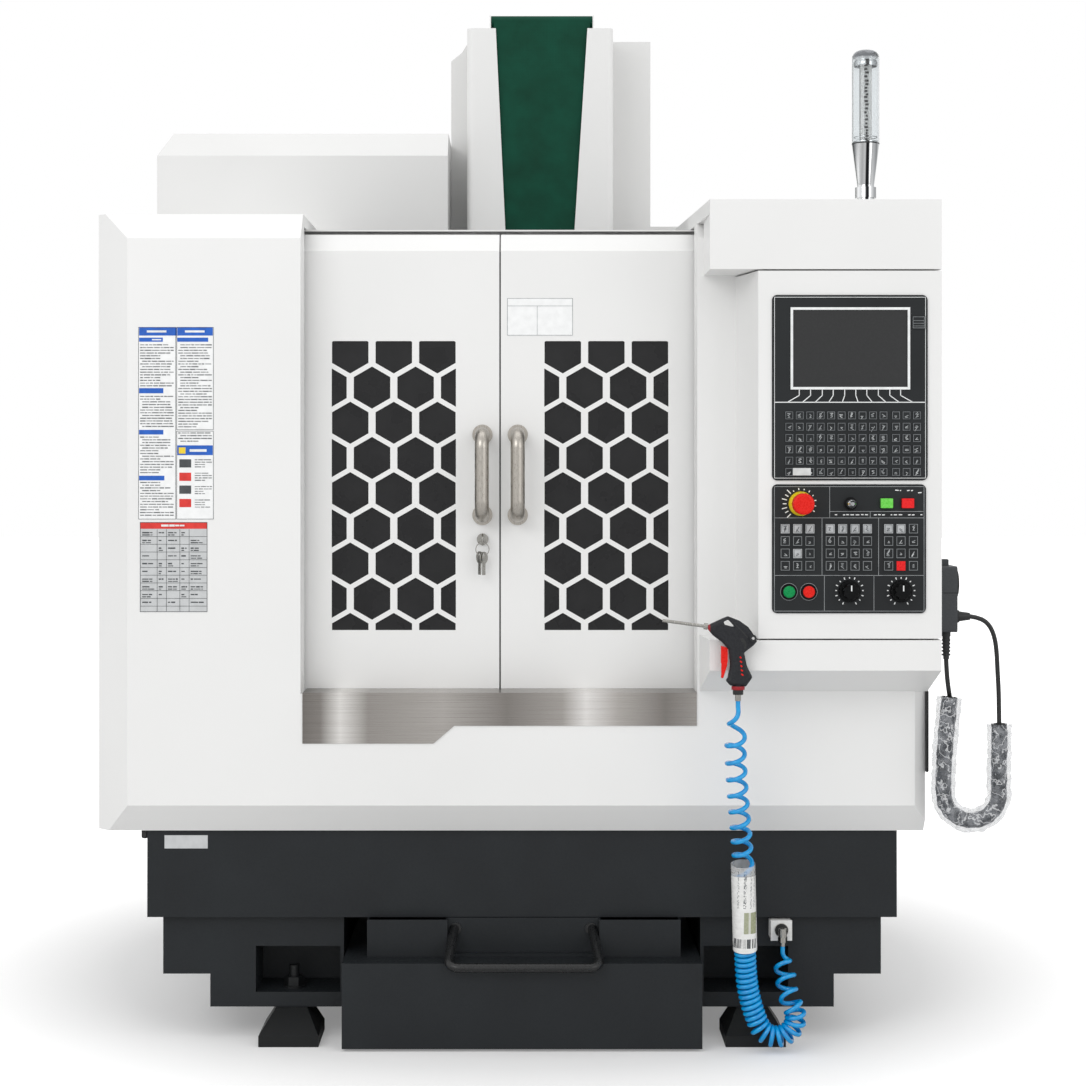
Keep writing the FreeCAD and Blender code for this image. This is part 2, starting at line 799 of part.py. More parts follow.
# ---------------------------------------------------------------- enclosure
def skin_can(inset):
    """The outline of the enclosure, with every face moved inwards by the inset."""
    cut = inset * math.tan(math.radians(22.5))
    left = SKIN_LEFT + inset
    right = SKIN_RIGHT - inset
    front = SKIN_FRONT + inset
    back = ENCLOSURE_BACK - inset
    top = SKIN_TOP - inset
    bottom = SKIN_BOTTOM + inset
    plan = [
        (left, back),
        (left, front + LEFT_CORNER - cut),
        (left + LEFT_CORNER - cut, front),
        (right - RIGHT_CORNER + cut, front),
        (right, front + RIGHT_CORNER - cut),
        (right, back),
    ]
    side = [
        (front + BOTTOM_RECESS, bottom),
        (front, bottom + LOW_BEVEL - cut),
        (front, top - TOP_BEVEL + cut),
        (front + TOP_BEVEL - cut, top),
        (back, top),
        (back, bottom),
    ]
    return plan_prism(plan, bottom, top).common(side_prism(side, left, right))


def enclosure_shell():
    """The folded skin: front, walls, roof edges, turned-in foot and door opening."""
    shell = skin_can(0).cut(skin_can(SHEET))
    foot_hole = box(SKIN_LEFT + SKIN_FOOT_INSET, SKIN_RIGHT - SKIN_FOOT_INSET + FOOT_HOLE_SHIFT,
                    SKIN_FRONT + BOTTOM_RECESS + SKIN_FOOT_DEPTH, ENCLOSURE_BACK - SKIN_FOOT_DEPTH,
                    SKIN_BOTTOM - MARGIN, SKIN_BOTTOM + SHEET + MARGIN)
    opening = box(OPENING_LEFT, OPENING_RIGHT, SKIN_FRONT - MARGIN, HEADER_BACK,
                  SILL_TOP, SKIN_TOP + MARGIN)
    roof_gap = box(OPENING_LEFT, OPENING_RIGHT, HEADER_BACK - MARGIN, ENCLOSURE_BACK + MARGIN,
                   SKIN_TOP - ROOF_FLANGE, SKIN_TOP + MARGIN)
    column_gap = box(COLUMN_COVER_LEFT - COLUMN_GAP_MORE, REAR_COVER_RIGHT,
                     ENCLOSURE_BACK - SKIN_FOOT_DEPTH - MARGIN, ENCLOSURE_BACK + MARGIN,
                     SKIN_BOTTOM - MARGIN, SKIN_TOP + MARGIN)
    hood_seat = box(OPENING_RIGHT - MARGIN, SKIN_RIGHT + MARGIN, SKIN_FRONT - MARGIN,
                    CONSOLE_FRONT + HOOD_DEPTH, HOOD_TAIL_BOTTOM, SKIN_TOP + MARGIN)
    shell = shell.cut(group([foot_hole, opening, roof_gap, column_gap, hood_seat]))
    return shell


def jamb(x0, x1, top):
    """The sheet edge that turns back beside the door opening."""
    upright = box(x0, x1, SKIN_FRONT, SKIN_FRONT + JAMB_DEPTH, SILL_TOP - SHEET, top)
    return upright.common(skin_can(0))


def roof_flange(x0, x1, front):
    return box(x0, x1, front, ENCLOSURE_BACK, SKIN_TOP - ROOF_FLANGE, SKIN_TOP)


def left_enclosure_shell():
    skin = enclosure_shell().common(box(SKIN_LEFT - MARGIN, OPENING_RIGHT, -ROOM, ROOM, 0, ROOM))
    ledge = box(OPENING_LEFT, OPENING_RIGHT, SKIN_FRONT, DOOR_FRONT - MARGIN,
                SILL_TOP - SHEET, SILL_TOP)
    lip = box(OPENING_LEFT, OPENING_RIGHT, DOOR_FRONT - MARGIN - SHEET, DOOR_FRONT - MARGIN,
              SILL_TOP - LEDGE_LIP, SILL_TOP)
    upright = jamb(OPENING_LEFT - SHEET, OPENING_LEFT, SKIN_TOP)
    flange = roof_flange(OPENING_LEFT - SHEET, OPENING_LEFT, SKIN_FRONT + TOP_BEVEL)
    add("left_enclosure_shell", fused(skin, ledge, lip, upright, flange))


def right_enclosure_shell():
    skin = enclosure_shell().common(box(OPENING_RIGHT, SKIN_RIGHT + MARGIN, -ROOM, ROOM, 0, ROOM))
    upright = jamb(OPENING_RIGHT, OPENING_RIGHT + SHEET, HOOD_TAIL_BOTTOM)
    flange = roof_flange(OPENING_RIGHT, OPENING_RIGHT + SHEET, CONSOLE_FRONT + HOOD_DEPTH)
    add("right_enclosure_shell", fused(skin, upright, flange))


def sill_strip():
    """Stainless cover with a step, folded back over the sill."""
    left = OPENING_LEFT + STRIP_SIDE_MARGIN
    right = OPENING_RIGHT - 1.0
    face = front_prism([
        (left, SILL_TOP + STRIP_SHEET),
        (right, SILL_TOP + STRIP_SHEET),
        (right, SILL_TOP - STRIP_SHALLOW),
        (STRIP_STEP_RIGHT, SILL_TOP - STRIP_SHALLOW),
        (STRIP_STEP_LEFT, SILL_TOP - STRIP_DEEP),
        (left, SILL_TOP - STRIP_DEEP),
    ], SKIN_FRONT - STRIP_SHEET, SKIN_FRONT)
    ledge = box(left, right, SKIN_FRONT, DOOR_FRONT - 2 * MARGIN, SILL_TOP, SILL_TOP + STRIP_SHEET)
    add("sill_strip", fused(face, ledge))


# -------------------------------------------------------------------- doors
def door_tracks():
    """Header channel with its hanging rail, and the guide rail under the doors."""
    left = SKIN_LEFT + SHEET
    right = SKIN_RIGHT - SHEET
    top_plate = box(left, right, HEADER_FRONT, HEADER_BACK, HEADER_TOP - SHEET, HEADER_TOP)
    web = box(left, right, HEADER_BACK - SHEET, HEADER_BACK, HEADER_BOTTOM, HEADER_TOP)
    rail = box(left, right, HEADER_BACK - SHEET - TOP_RAIL_WIDTH, HEADER_BACK - SHEET,
               TOP_RAIL_BOTTOM, TOP_RAIL_BOTTOM + TOP_RAIL_HEIGHT)
    low_top = DOOR_BOTTOM - RUNNING
    low_rail = box(left, right, DOOR_FRONT - MARGIN, DOOR_BACK + 2 * SHEET,
                   low_top - LOW_RAIL_HEIGHT, low_top)
    add("door_tracks", group([fused(top_plate, web, rail), low_rail]))


def hexagon(x, z):
    """One upright hexagon, point up."""
    radius = HEX_WIDTH / math.sqrt(3)
    corners = []
    for side in range(HEX_SIDES):
        angle = 2 * math.pi * (side + 0.5) / HEX_SIDES
        corners.append((x + radius * math.cos(angle), z + radius * math.sin(angle)))
    return front_prism(corners, DOOR_FRONT - MARGIN, DOOR_FRONT + DOOR_SHEET + MARGIN)


def honeycomb(window_left):
    """The hexagons of one window, cut off at the window's edges."""
    middle = window_left + WINDOW_WIDTH / 2
    cells = []
    for row in range(HEX_ROWS):
        z = HEX_TOP_ROW - row * HEX_ROW_PITCH
        shift = 0.5 * (row % 2)
        for column in range(-2, 3):
            x = middle + (column + shift) * HEX_PITCH
            if abs(x - middle) < (WINDOW_WIDTH + HEX_WIDTH) / 2 - 6:
                cells.append(hexagon(x, z))
    window = box(window_left, window_left + WINDOW_WIDTH, DOOR_FRONT - 2 * MARGIN,
                 DOOR_FRONT + 2 * DOOR_SHEET, WINDOW_BOTTOM, WINDOW_TOP)
    return group(cells).common(window)


def hanger(x):
    """Bracket on the back of a door that runs against the hanging rail."""
    rail_front = HEADER_BACK - SHEET - TOP_RAIL_WIDTH
    middle = TOP_RAIL_BOTTOM + TOP_RAIL_HEIGHT / 2
    height = HANGER_HEIGHT / 2
    bracket = box(x - HANGER_WIDTH / 2, x + HANGER_WIDTH / 2, DOOR_FRONT, rail_front - RUNNING,
                  middle - height, middle + height)
    face = side_prism(door_section(DOOR_SHEET), x - HANGER_WIDTH, x + HANGER_WIDTH)
    return bracket.cut(face).cut(outside_of_door(x - HANGER_WIDTH, x + HANGER_WIDTH))


def door_section(thickness):
    """Side view of the door sheet: upright with a bevel at the top."""
    diagonal = thickness * math.tan(math.radians(22.5))
    bevel_top = DOOR_BEND + DOOR_BEVEL
    return [
        (DOOR_FRONT, DOOR_BOTTOM),
        (DOOR_FRONT, DOOR_BEND),
        (DOOR_FRONT + DOOR_BEVEL, bevel_top),
        (DOOR_FRONT + DOOR_BEVEL, bevel_top - thickness * math.sqrt(2)),
        (DOOR_FRONT + thickness, DOOR_BEND - diagonal),
        (DOOR_FRONT + thickness, DOOR_BOTTOM),
    ]


def outside_of_door(x0, x1):
    """The room in front of a door's face."""
    bevel_top = DOOR_BEND + DOOR_BEVEL
    return side_prism([
        (DOOR_FRONT - OUTSIDE, DOOR_BOTTOM - MARGIN),
        (DOOR_FRONT, DOOR_BOTTOM - MARGIN),
        (DOOR_FRONT, DOOR_BEND),
        (DOOR_FRONT + DOOR_BEVEL, bevel_top),
        (DOOR_FRONT + DOOR_BEVEL, bevel_top + OUTSIDE),
        (DOOR_FRONT - OUTSIDE, bevel_top + OUTSIDE),
    ], x0, x1)


def door_edge(x0, x1):
    """Sheet edge turned back along one side of a door."""
    bevel_top = DOOR_BEND + DOOR_BEVEL
    return side_prism([
        (DOOR_FRONT, DOOR_BOTTOM),
        (DOOR_FRONT, DOOR_BEND),
        (DOOR_FRONT + DOOR_BEVEL, bevel_top),
        (DOOR_FRONT + DOOR_BEVEL, bevel_top - DOOR_DEPTH),
        (DOOR_BACK, DOOR_BEND - DOOR_BEVEL),
        (DOOR_BACK, DOOR_BOTTOM),
    ], x0, x1)


def door_panel(x0, x1, window_left, lock=False):
    face = side_prism(door_section(DOOR_SHEET), x0, x1)
    edges = [door_edge(x0, x0 + DOOR_SHEET), door_edge(x1 - DOOR_SHEET, x1)]
    foot = box(x0, x1, DOOR_FRONT, DOOR_BACK, DOOR_BOTTOM, DOOR_BOTTOM + DOOR_SHEET)
    hangers = [hanger(x0 + HANGER_INSET), hanger(x1 - HANGER_INSET)]
    panel = fused(face, foot, *(edges + hangers)).cut(honeycomb(window_left))
    if lock:
        panel = panel.cut(rod(LOCK_X, DOOR_FRONT - MARGIN, LOCK_Z, Y_AXIS, DOOR_DEPTH,
                              LOCK_BARREL + 2 * SHAFT_FIT))
    return panel


def window_pane(window_left):
    """Dark pane pressed against the back of the honeycomb, with rounded corners."""
    back = DOOR_FRONT + DOOR_SHEET
    pane = box(window_left - PANE_MARGIN, window_left + WINDOW_WIDTH + PANE_MARGIN, back,
               back + PANE_THICKNESS, WINDOW_BOTTOM - PANE_MARGIN, WINDOW_TOP + PANE_MARGIN)
    return rounded(pane, PANE_MARGIN, Y_AXIS)


def door_handle(x):
    """Round bar bent to a D, with a round foot at each end."""
    low = HANDLE_LOW + HANDLE_BAR / 2
    high = HANDLE_HIGH - HANDLE_BAR / 2
    seat = DOOR_FRONT
    front = DOOR_FRONT - HANDLE_REACH
    route = cornered([
        Vector(x, seat, low),
        Vector(x, front, low),
        Vector(x, front, high),
        Vector(x, seat, high),
    ], radius=HANDLE_BEND)
    bar = tube_along(route, HANDLE_BAR)
    feet = [rod(x, seat - HANDLE_FOOT_THICKNESS, z, Y_AXIS, HANDLE_FOOT_THICKNESS, HANDLE_FOOT)
            for z in (low, high)]
    return fused(bar, *feet)


def doors():
    half_gap = DOOR_GAP / 2
    left_window = DOOR_GAP_X - WINDOW_NEAR - WINDOW_WIDTH
    right_window = DOOR_GAP_X + WINDOW_NEAR
    add("left_door_panel", door_panel(LEFT_DOOR_OUTER, DOOR_GAP_X - half_gap, left_window, True))
    add("right_door_panel", door_panel(DOOR_GAP_X + half_gap, RIGHT_DOOR_OUTER, right_window))
    add("left_door_window", window_pane(left_window))
    add("right_door_window", window_pane(right_window))
    add("left_door_handle", door_handle(DOOR_GAP_X - HANDLE_OFFSET))
    add("right_door_handle", door_handle(DOOR_GAP_X + HANDLE_OFFSET))


def key_plate(stem_down):
    """A flat key standing in the YZ plane at the origin, with the hole of its bow there."""
    bow = rod(-KEY_THICKNESS / 2, 0, -KEY_BOW / 4, X_AXIS, KEY_THICKNESS, KEY_BOW)
    stem = box(-KEY_THICKNESS / 2, KEY_THICKNESS / 2, -4, 4, -KEY_BOW / 4 - stem_down, -KEY_BOW / 4)
    hole = rod(-KEY_THICKNESS, 0, 0, X_AXIS, 2 * KEY_THICKNESS, KEY_HOLE)
    return fused(bow, stem).cut(hole)


def lock_and_keys():
    face = DOOR_FRONT
    flange_front = face - LOCK_FLANGE_THICKNESS
    barrel = rod(LOCK_X, flange_front, LOCK_Z, Y_AXIS, LOCK_FLANGE_THICKNESS + LOCK_INSIDE,
                 LOCK_BARREL)
    flange = rod(LOCK_X, flange_front, LOCK_Z, Y_AXIS, LOCK_FLANGE_THICKNESS, LOCK_FLANGE)
    stem = box(LOCK_X - KEY_THICKNESS / 2, LOCK_X + KEY_THICKNESS / 2,
               flange_front - KEY_STEM, flange_front + KEY_THICKNESS, LOCK_Z - KEY_STEM_HALF,
               LOCK_Z + KEY_STEM_HALF)
    bow_y = flange_front - KEY_STEM - KEY_BOW / 4
    bow = rod(LOCK_X - KEY_THICKNESS / 2, bow_y, LOCK_Z, X_AXIS, KEY_THICKNESS, KEY_BOW)
    hole = rod(LOCK_X - KEY_THICKNESS, bow_y, LOCK_Z - KEY_STEM_HALF, X_AXIS, 2 * KEY_THICKNESS,
               KEY_HOLE)
    lock = fused(barrel, flange, stem, bow).cut(hole)
    ring_z = (LOCK_Z - KEY_STEM_HALF - KEY_HOLE / 2 + RING_WIRE / 2 + RUNNING - RING_RADIUS)
    half_wire = RING_WIRE / 2
    ring = rod(LOCK_X, bow_y - half_wire, ring_z, Y_AXIS, RING_WIRE, 2 * (RING_RADIUS + half_wire))
    ring = ring.cut(rod(LOCK_X, bow_y - RING_WIRE, ring_z, Y_AXIS, 2 * RING_WIRE,
                        2 * (RING_RADIUS - half_wire)))
    keys = []
    for angle, turn in KEY_HANG:
        lean = math.radians(angle)
        plate = key_plate(KEY_LENGTH)
        plate.rotate(Vector(0, 0, 0), Z_AXIS, turn)
        drop = RING_RADIUS * math.cos(lean) - KEY_HOLE / 2 + RING_WIRE / 2 + RUNNING
        keys.append(moved(plate, LOCK_X + RING_RADIUS * math.sin(lean), bow_y, ring_z - drop))
    add("door_lock", group([lock, ring] + keys))


# ------------------------------------------------------------------ console
def console_block(left, left_back, right, z0, z1):
    """A block in front of the skin whose left side flares to the rear."""
    return plan_prism([
        (left, CONSOLE_FRONT),
        (right, CONSOLE_FRONT),
        (right, SKIN_FRONT),
        (left_back, SKIN_FRONT),
    ], z0, z1)


def unit_block(left, right, bottom, top, grow):
    """A unit let into the control box, with rounded corners, grown by a gap."""
    block = box(left - grow, right + grow, UNIT_FRONT, UNIT_FRONT + UNIT_DEPTH + grow,
                bottom - grow, top + grow)
    return rounded(block, UNIT_CORNER, Y_AXIS)


def control_box():
    body = console_block(BOX_LEFT, BOX_LEFT_BACK, SKIN_RIGHT, BOX_BOTTOM, BOX_TOP)
    body = body.cut(unit_block(DISPLAY_LEFT, DISPLAY_RIGHT, DISPLAY_BOTTOM, DISPLAY_TOP, UNIT_GAP))
    body = body.cut(unit_block(PANEL_LEFT, PANEL_RIGHT, PANEL_BOTTOM, PANEL_TOP, UNIT_GAP))
    seats = []
    for left, right, low, high in ((DISPLAY_LEFT, DISPLAY_RIGHT, DISPLAY_BOTTOM, DISPLAY_TOP),
                                   (PANEL_LEFT, PANEL_RIGHT, PANEL_BOTTOM, PANEL_TOP)):
        back = UNIT_FRONT + UNIT_DEPTH
        seats.append(box(left + SEAT_INSET, right - SEAT_INSET, back, back + SEAT_DEPTH,
                         low + SEAT_INSET, high - SEAT_INSET))
    add("control_box", fused(body, *seats))


def control_hood():
    """Cover over the control box, with a tail that runs back over the skin."""
    front = console_block(HOOD_LEFT, HOOD_LEFT, SKIN_RIGHT, HOOD_BOTTOM, HOOD_TOP)
    flare = (HOOD_LEFT - HOOD_LEFT_BACK) / HOOD_DEPTH
    plan = [
        (HOOD_LEFT, CONSOLE_FRONT),
        (SKIN_RIGHT, CONSOLE_FRONT),
        (SKIN_RIGHT, CONSOLE_FRONT + HOOD_DEPTH),
        (HOOD_LEFT_BACK, CONSOLE_FRONT + HOOD_DEPTH),
        (HOOD_LEFT - flare * SKIN_SETBACK, SKIN_FRONT),
    ]
    tail = plan_prism(plan, HOOD_TAIL_BOTTOM, HOOD_TOP)
    body = fused(front.common(plan_prism(plan, HOOD_BOTTOM, HOOD_TOP)), tail)
    add("control_hood", body)


def control_shelf():
    """Box under the control panel with a slanted underside and the peg for the air gun."""
    plan = console_block(SHELF_LEFT, SHELF_LEFT_BACK, SHELF_RIGHT, SHELF_BACK_BOTTOM, SHELF_TOP)
    side = side_prism([
        (CONSOLE_FRONT, SHELF_TOP),
        (SKIN_FRONT, SHELF_TOP),
        (SKIN_FRONT, SHELF_BACK_BOTTOM),
        (CONSOLE_FRONT, SHELF_FRONT_BOTTOM),
    ], SHELF_LEFT_BACK - SHELF_SPARE, SHELF_RIGHT)
    peg = peg_bar(0.0, PEG_REACH, PEG)
    head = peg_bar(PEG_REACH, PEG_HEAD_LENGTH, PEG_HEAD)
    add("control_shelf", fused(plan.common(side), peg, head))


def peg_bar(start, length, diameter):
    """A stretch of the slanted peg, measured from the shelf's front."""
    slope = PEG_RISE / PEG_REACH
    base = Vector(PEG_X, CONSOLE_FRONT - start, PEG_Z + start * slope)
    along = Vector(0, -1, slope)
    return Part.makeCylinder(diameter / 2, length * along.Length, base, along)


def key_block(left, top, width, height, columns, rows, pitch, row_pitch):
    """A field of low square keys on a front panel, each bedded into the panel."""
    keys = []
    for row in range(rows):
        for column in range(columns):
            x = left + column * pitch
            z = top - row * row_pitch
            keys.append(box(x, x + width, UNIT_FRONT - KEY_PROUD, UNIT_FRONT + 1, z - height, z))
    return keys


def display_unit():
    body = unit_block(DISPLAY_LEFT, DISPLAY_RIGHT, DISPLAY_BOTTOM, DISPLAY_TOP, 0)
    frame = box(SCREEN_LEFT, SCREEN_RIGHT, UNIT_FRONT - FRAME_PROUD, UNIT_FRONT + 1,
                SCREEN_BOTTOM, SCREEN_TOP)
    glass = box(SCREEN_LEFT + SCREEN_FRAME, SCREEN_RIGHT - SCREEN_FRAME,
                UNIT_FRONT - FRAME_PROUD - MARGIN, UNIT_FRONT + SCREEN_SINK,
                SCREEN_BOTTOM + SCREEN_FRAME, SCREEN_TOP - SCREEN_FRAME)
    card = box(CARD_COVER_LEFT, CARD_COVER_LEFT + CARD_COVER, UNIT_FRONT - KEY_PROUD,
               UNIT_FRONT + 1, CARD_COVER_BOTTOM, CARD_COVER_BOTTOM + CARD_COVER)
    keys = key_block(SMALL_KEYS_LEFT, SMALL_KEYS_TOP, SMALL_KEY, SMALL_KEY, SMALL_KEY_COLUMNS,
                     SMALL_KEY_ROWS, SMALL_KEY_PITCH, SMALL_KEY_ROW_PITCH)
    keys += key_block(SIDE_KEYS_LEFT, SMALL_KEYS_TOP, SMALL_KEY, SMALL_KEY, SIDE_KEY_COLUMNS,
                      SMALL_KEY_ROWS, SMALL_KEY_PITCH, SMALL_KEY_ROW_PITCH)
    add("display_unit", fused(body, frame, card, *keys).cut(glass))


def operator_panel():
    """The panel with its bedded keys, the rings of the buttons and the bores behind them."""
    body = unit_block(PANEL_LEFT, PANEL_RIGHT, PANEL_BOTTOM, PANEL_TOP, 0)
    solids = []
    for left, columns in PANEL_KEY_BLOCKS:
        solids += key_block(left, PANEL_KEYS_TOP, PANEL_KEY_WIDTH, PANEL_KEY_HEIGHT, columns,
                            PANEL_KEY_ROWS, PANEL_KEY_PITCH, PANEL_KEY_PITCH)
    for x in (START_X, HOLD_X):
        solids.append(rod(x, UNIT_FRONT - BUTTON_RING_PROUD, ROUND_BUTTON_Z, Y_AXIS,
                          BUTTON_RING_PROUD + 1, BUTTON_RING))
    solids.append(rod(SWITCH_X, UNIT_FRONT - SWITCH_NUT_PROUD, SWITCH_Z, Y_AXIS,
                      SWITCH_NUT_PROUD + 1, SWITCH_NUT))
    body = fused(body, *solids)
    clear = 2 * SHAFT_FIT
    bores = []
    well = BUTTON_INSIDE + BUTTON_TRAVEL + END_ROOM
    for x in (START_X, HOLD_X):
        bores.append(rod(x, UNIT_FRONT - RUNOUT, ROUND_BUTTON_Z, Y_AXIS, RUNOUT + well,
                         ROUND_BUTTON + clear))
    for x in (POWER_ON_X, POWER_OFF_X):
        bores.append(square_button(x, UNIT_FRONT - RUNOUT, UNIT_FRONT + well, RUNNING))
    for x in (FEED_KNOB_X, SPINDLE_KNOB_X):
        bores.append(rod(x, UNIT_FRONT - RUNOUT, KNOB_Z, Y_AXIS, RUNOUT + KNOB_SHAFT_INSIDE + END_ROOM,
                         KNOB_SHAFT + clear))
    bores.append(rod(ESTOP_X, UNIT_FRONT - RUNOUT, ESTOP_Z, Y_AXIS,
                     RUNOUT + ESTOP_NECK_INSIDE + BUTTON_TRAVEL + 2 * END_ROOM,
                     ESTOP_NECK + clear))
    socket = SWITCH_BALL / 2 + RUNNING
    bores.append(rod(SWITCH_X - socket, UNIT_FRONT, SWITCH_Z, X_AXIS, 2 * socket, 2 * socket))
    bores.append(box(SWITCH_X - socket, SWITCH_X + socket, UNIT_FRONT - SWITCH_NUT_PROUD - MARGIN,
                     UNIT_FRONT, SWITCH_Z - socket, SWITCH_Z + socket))
    add("operator_panel", body.cut(group(bores)))


def square_button(x, y0, y1, grow):
    half_width = SQUARE_BUTTON_WIDTH / 2 + grow
    half_height = SQUARE_BUTTON_HEIGHT / 2 + grow
    return box(x - half_width, x + half_width, y0, y1,
               SQUARE_BUTTON_Z - half_height, SQUARE_BUTTON_Z + half_height)


def knob(x):
    """Override knob: a round skirt with a narrower fluted grip on a shaft."""
    back = UNIT_FRONT - RUNNING
    skirt = cone(x, back, KNOB_Z, -Y_AXIS, KNOB_SKIRT_DEPTH, KNOB_SKIRT,
                 KNOB_SKIRT - KNOB_SKIRT_TAPER)
    grip = cone(x, back, KNOB_Z, -Y_AXIS, KNOB_DEPTH, KNOB_GRIP + KNOB_DRAFT, KNOB_GRIP)
    grip = grip.makeChamfer(CAP_CHAMFER, [edge_at(grip, back - KNOB_DEPTH)])
    flutes = []
    for side in range(KNOB_FLUTES):
        angle = 2 * math.pi * side / KNOB_FLUTES
        reach = KNOB_GRIP / 2 + KNOB_FLUTE_OUTSIDE
        flutes.append(rod(x + reach * math.cos(angle), back - KNOB_DEPTH - MARGIN,
                          KNOB_Z + reach * math.sin(angle), Y_AXIS,
                          KNOB_DEPTH - KNOB_SKIRT_DEPTH + MARGIN, KNOB_FLUTE))
    shaft = rod(x, back, KNOB_Z, Y_AXIS, KNOB_SHAFT_INSIDE, KNOB_SHAFT)
    pointer = box(x - POINTER, x + POINTER, back - KNOB_DEPTH - POINTER,
                  back - KNOB_DEPTH + 2 * POINTER, KNOB_Z, KNOB_Z + POINTER_LENGTH)
    return fused(grip.cut(group(flutes)), skirt, shaft, pointer)


def edge_at(shape, y):
    """The round edge of a turned piece that lies at one depth."""
    for edge in shape.Edges:
        if isinstance(edge.Curve, Part.Circle) and abs(edge.Curve.Center.y - y) < 1e-6:
            return edge
    raise ValueError("no edge at this depth")


def panel_controls():
    back = UNIT_FRONT
    collar = cone(ESTOP_X, back, ESTOP_Z, -Y_AXIS, ESTOP_COLLAR_DEPTH, ESTOP_COLLAR,
                  ESTOP_COLLAR - 6)
    collar = collar.cut(rod(ESTOP_X, back + MARGIN, ESTOP_Z, -Y_AXIS, ESTOP_COLLAR_DEPTH + 2,
                            ESTOP_NECK + 2 * SHAFT_FIT))
    add("estop_collar", collar)
    cap_front = CONSOLE_FRONT - ESTOP_REACH
    cap = rod(ESTOP_X, cap_front, ESTOP_Z, Y_AXIS, ESTOP_CAP_DEPTH, ESTOP_CAP)
    cap = cap.makeFillet(ESTOP_CAP_ROUND, [edge_at(cap, cap_front)])
    neck = rod(ESTOP_X, cap_front + ESTOP_NECK_START, ESTOP_Z, Y_AXIS,
               back + ESTOP_NECK_INSIDE - cap_front - ESTOP_NECK_START, ESTOP_NECK)
    add("estop_button", fused(cap, neck))
    for name, x in (("start_button", START_X), ("hold_button", HOLD_X)):
        button = rod(x, back - BUTTON_PROUD, ROUND_BUTTON_Z, Y_AXIS,
                     BUTTON_PROUD + BUTTON_INSIDE, ROUND_BUTTON)
        add(name, button.makeChamfer(CAP_CHAMFER, [edge_at(button, back - BUTTON_PROUD)]))
    for name, x in (("power_on_button", POWER_ON_X), ("power_off_button", POWER_OFF_X)):
        button = square_button(x, back - BUTTON_PROUD, back + BUTTON_INSIDE, 0)
        add(name, rounded(button, CAP_CHAMFER, Y_AXIS))
    add("feed_knob", knob(FEED_KNOB_X))
    add("spindle_knob", knob(SPINDLE_KNOB_X))
    pivot = rod(SWITCH_X - SWITCH_BALL / 2, back, SWITCH_Z, X_AXIS, SWITCH_BALL, SWITCH_BALL)
    lever = cone(SWITCH_X, back, SWITCH_Z, -Y_AXIS, SWITCH_REACH, SWITCH_ROOT, SWITCH_LEVER)
    tip_half = SWITCH_TIP / 2
    shoulder = tip_half * SWITCH_SHOULDER
    belt = 2 * (tip_half - shoulder)
    tip_back = back - SWITCH_REACH + tip_half
    rear = cone(SWITCH_X, tip_back, SWITCH_Z, -Y_AXIS, shoulder, SWITCH_LEVER, SWITCH_TIP)
    front = rod(SWITCH_X, tip_back - shoulder, SWITCH_Z, -Y_AXIS, belt, SWITCH_TIP)
    crown = cone(SWITCH_X, tip_back - shoulder - belt, SWITCH_Z, -Y_AXIS, shoulder,
                 SWITCH_TIP, SWITCH_LEVER)
    add("mode_switch", fused(pivot, lever, rear, front, crown))


def signal_lamp():
    y = CONSOLE_FRONT + LAMP_SETBACK
    base = HOOD_TOP
    foot = rod(LAMP_X, y, base, Z_AXIS, LAMP_RING_FOOT, LAMP_NECK)
    ring = rod(LAMP_X, y, base + LAMP_RING_FOOT, Z_AXIS, LAMP_RING_TOP - LAMP_RING_FOOT, LAMP_RING)
    neck = rod(LAMP_X, y, base + LAMP_RING_TOP, Z_AXIS, LAMP_NECK_TOP - LAMP_RING_TOP, LAMP_NECK)
    taper = cone(LAMP_X, y, base + LAMP_NECK_TOP, Z_AXIS, LAMP_TUBE_BOTTOM - LAMP_NECK_TOP,
                 LAMP_NECK, LAMP_TUBE)
    stem = rod(LAMP_X, y, base + LAMP_TUBE_BOTTOM, Z_AXIS,
               LAMP_TUBE_TOP - LAMP_TUBE_BOTTOM - LAMP_SEAT, LAMP_STEM)
    add("lamp_base", fused(foot, ring, neck, taper, stem))
    outer = lamp_dome(y, LAMP_TUBE, LAMP_TUBE_TOP)
    inner = rod(LAMP_X, y, base + LAMP_TUBE_BOTTOM - MARGIN, Z_AXIS,
                LAMP_TUBE_TOP - LAMP_TUBE_BOTTOM - LAMP_TUBE / 4, LAMP_TUBE - 2 * LAMP_WALL)
    add("lamp_tube", outer.cut(inner))


def lamp_dome(y, diameter, top):
    """The lamp's tube, closed by a dome."""
    base = HOOD_TOP + LAMP_TUBE_BOTTOM
    radius = diameter / 2
    dome_start = HOOD_TOP + top - radius * LAMP_DOME
    tube = rod(LAMP_X, y, base, Z_AXIS, HOOD_TOP + top - base, diameter)
    edge = [item for item in tube.Edges
            if isinstance(item.Curve, Part.Circle) and item.Curve.Center.z > dome_start]
    return tube.makeFillet(radius * LAMP_DOME, edge)


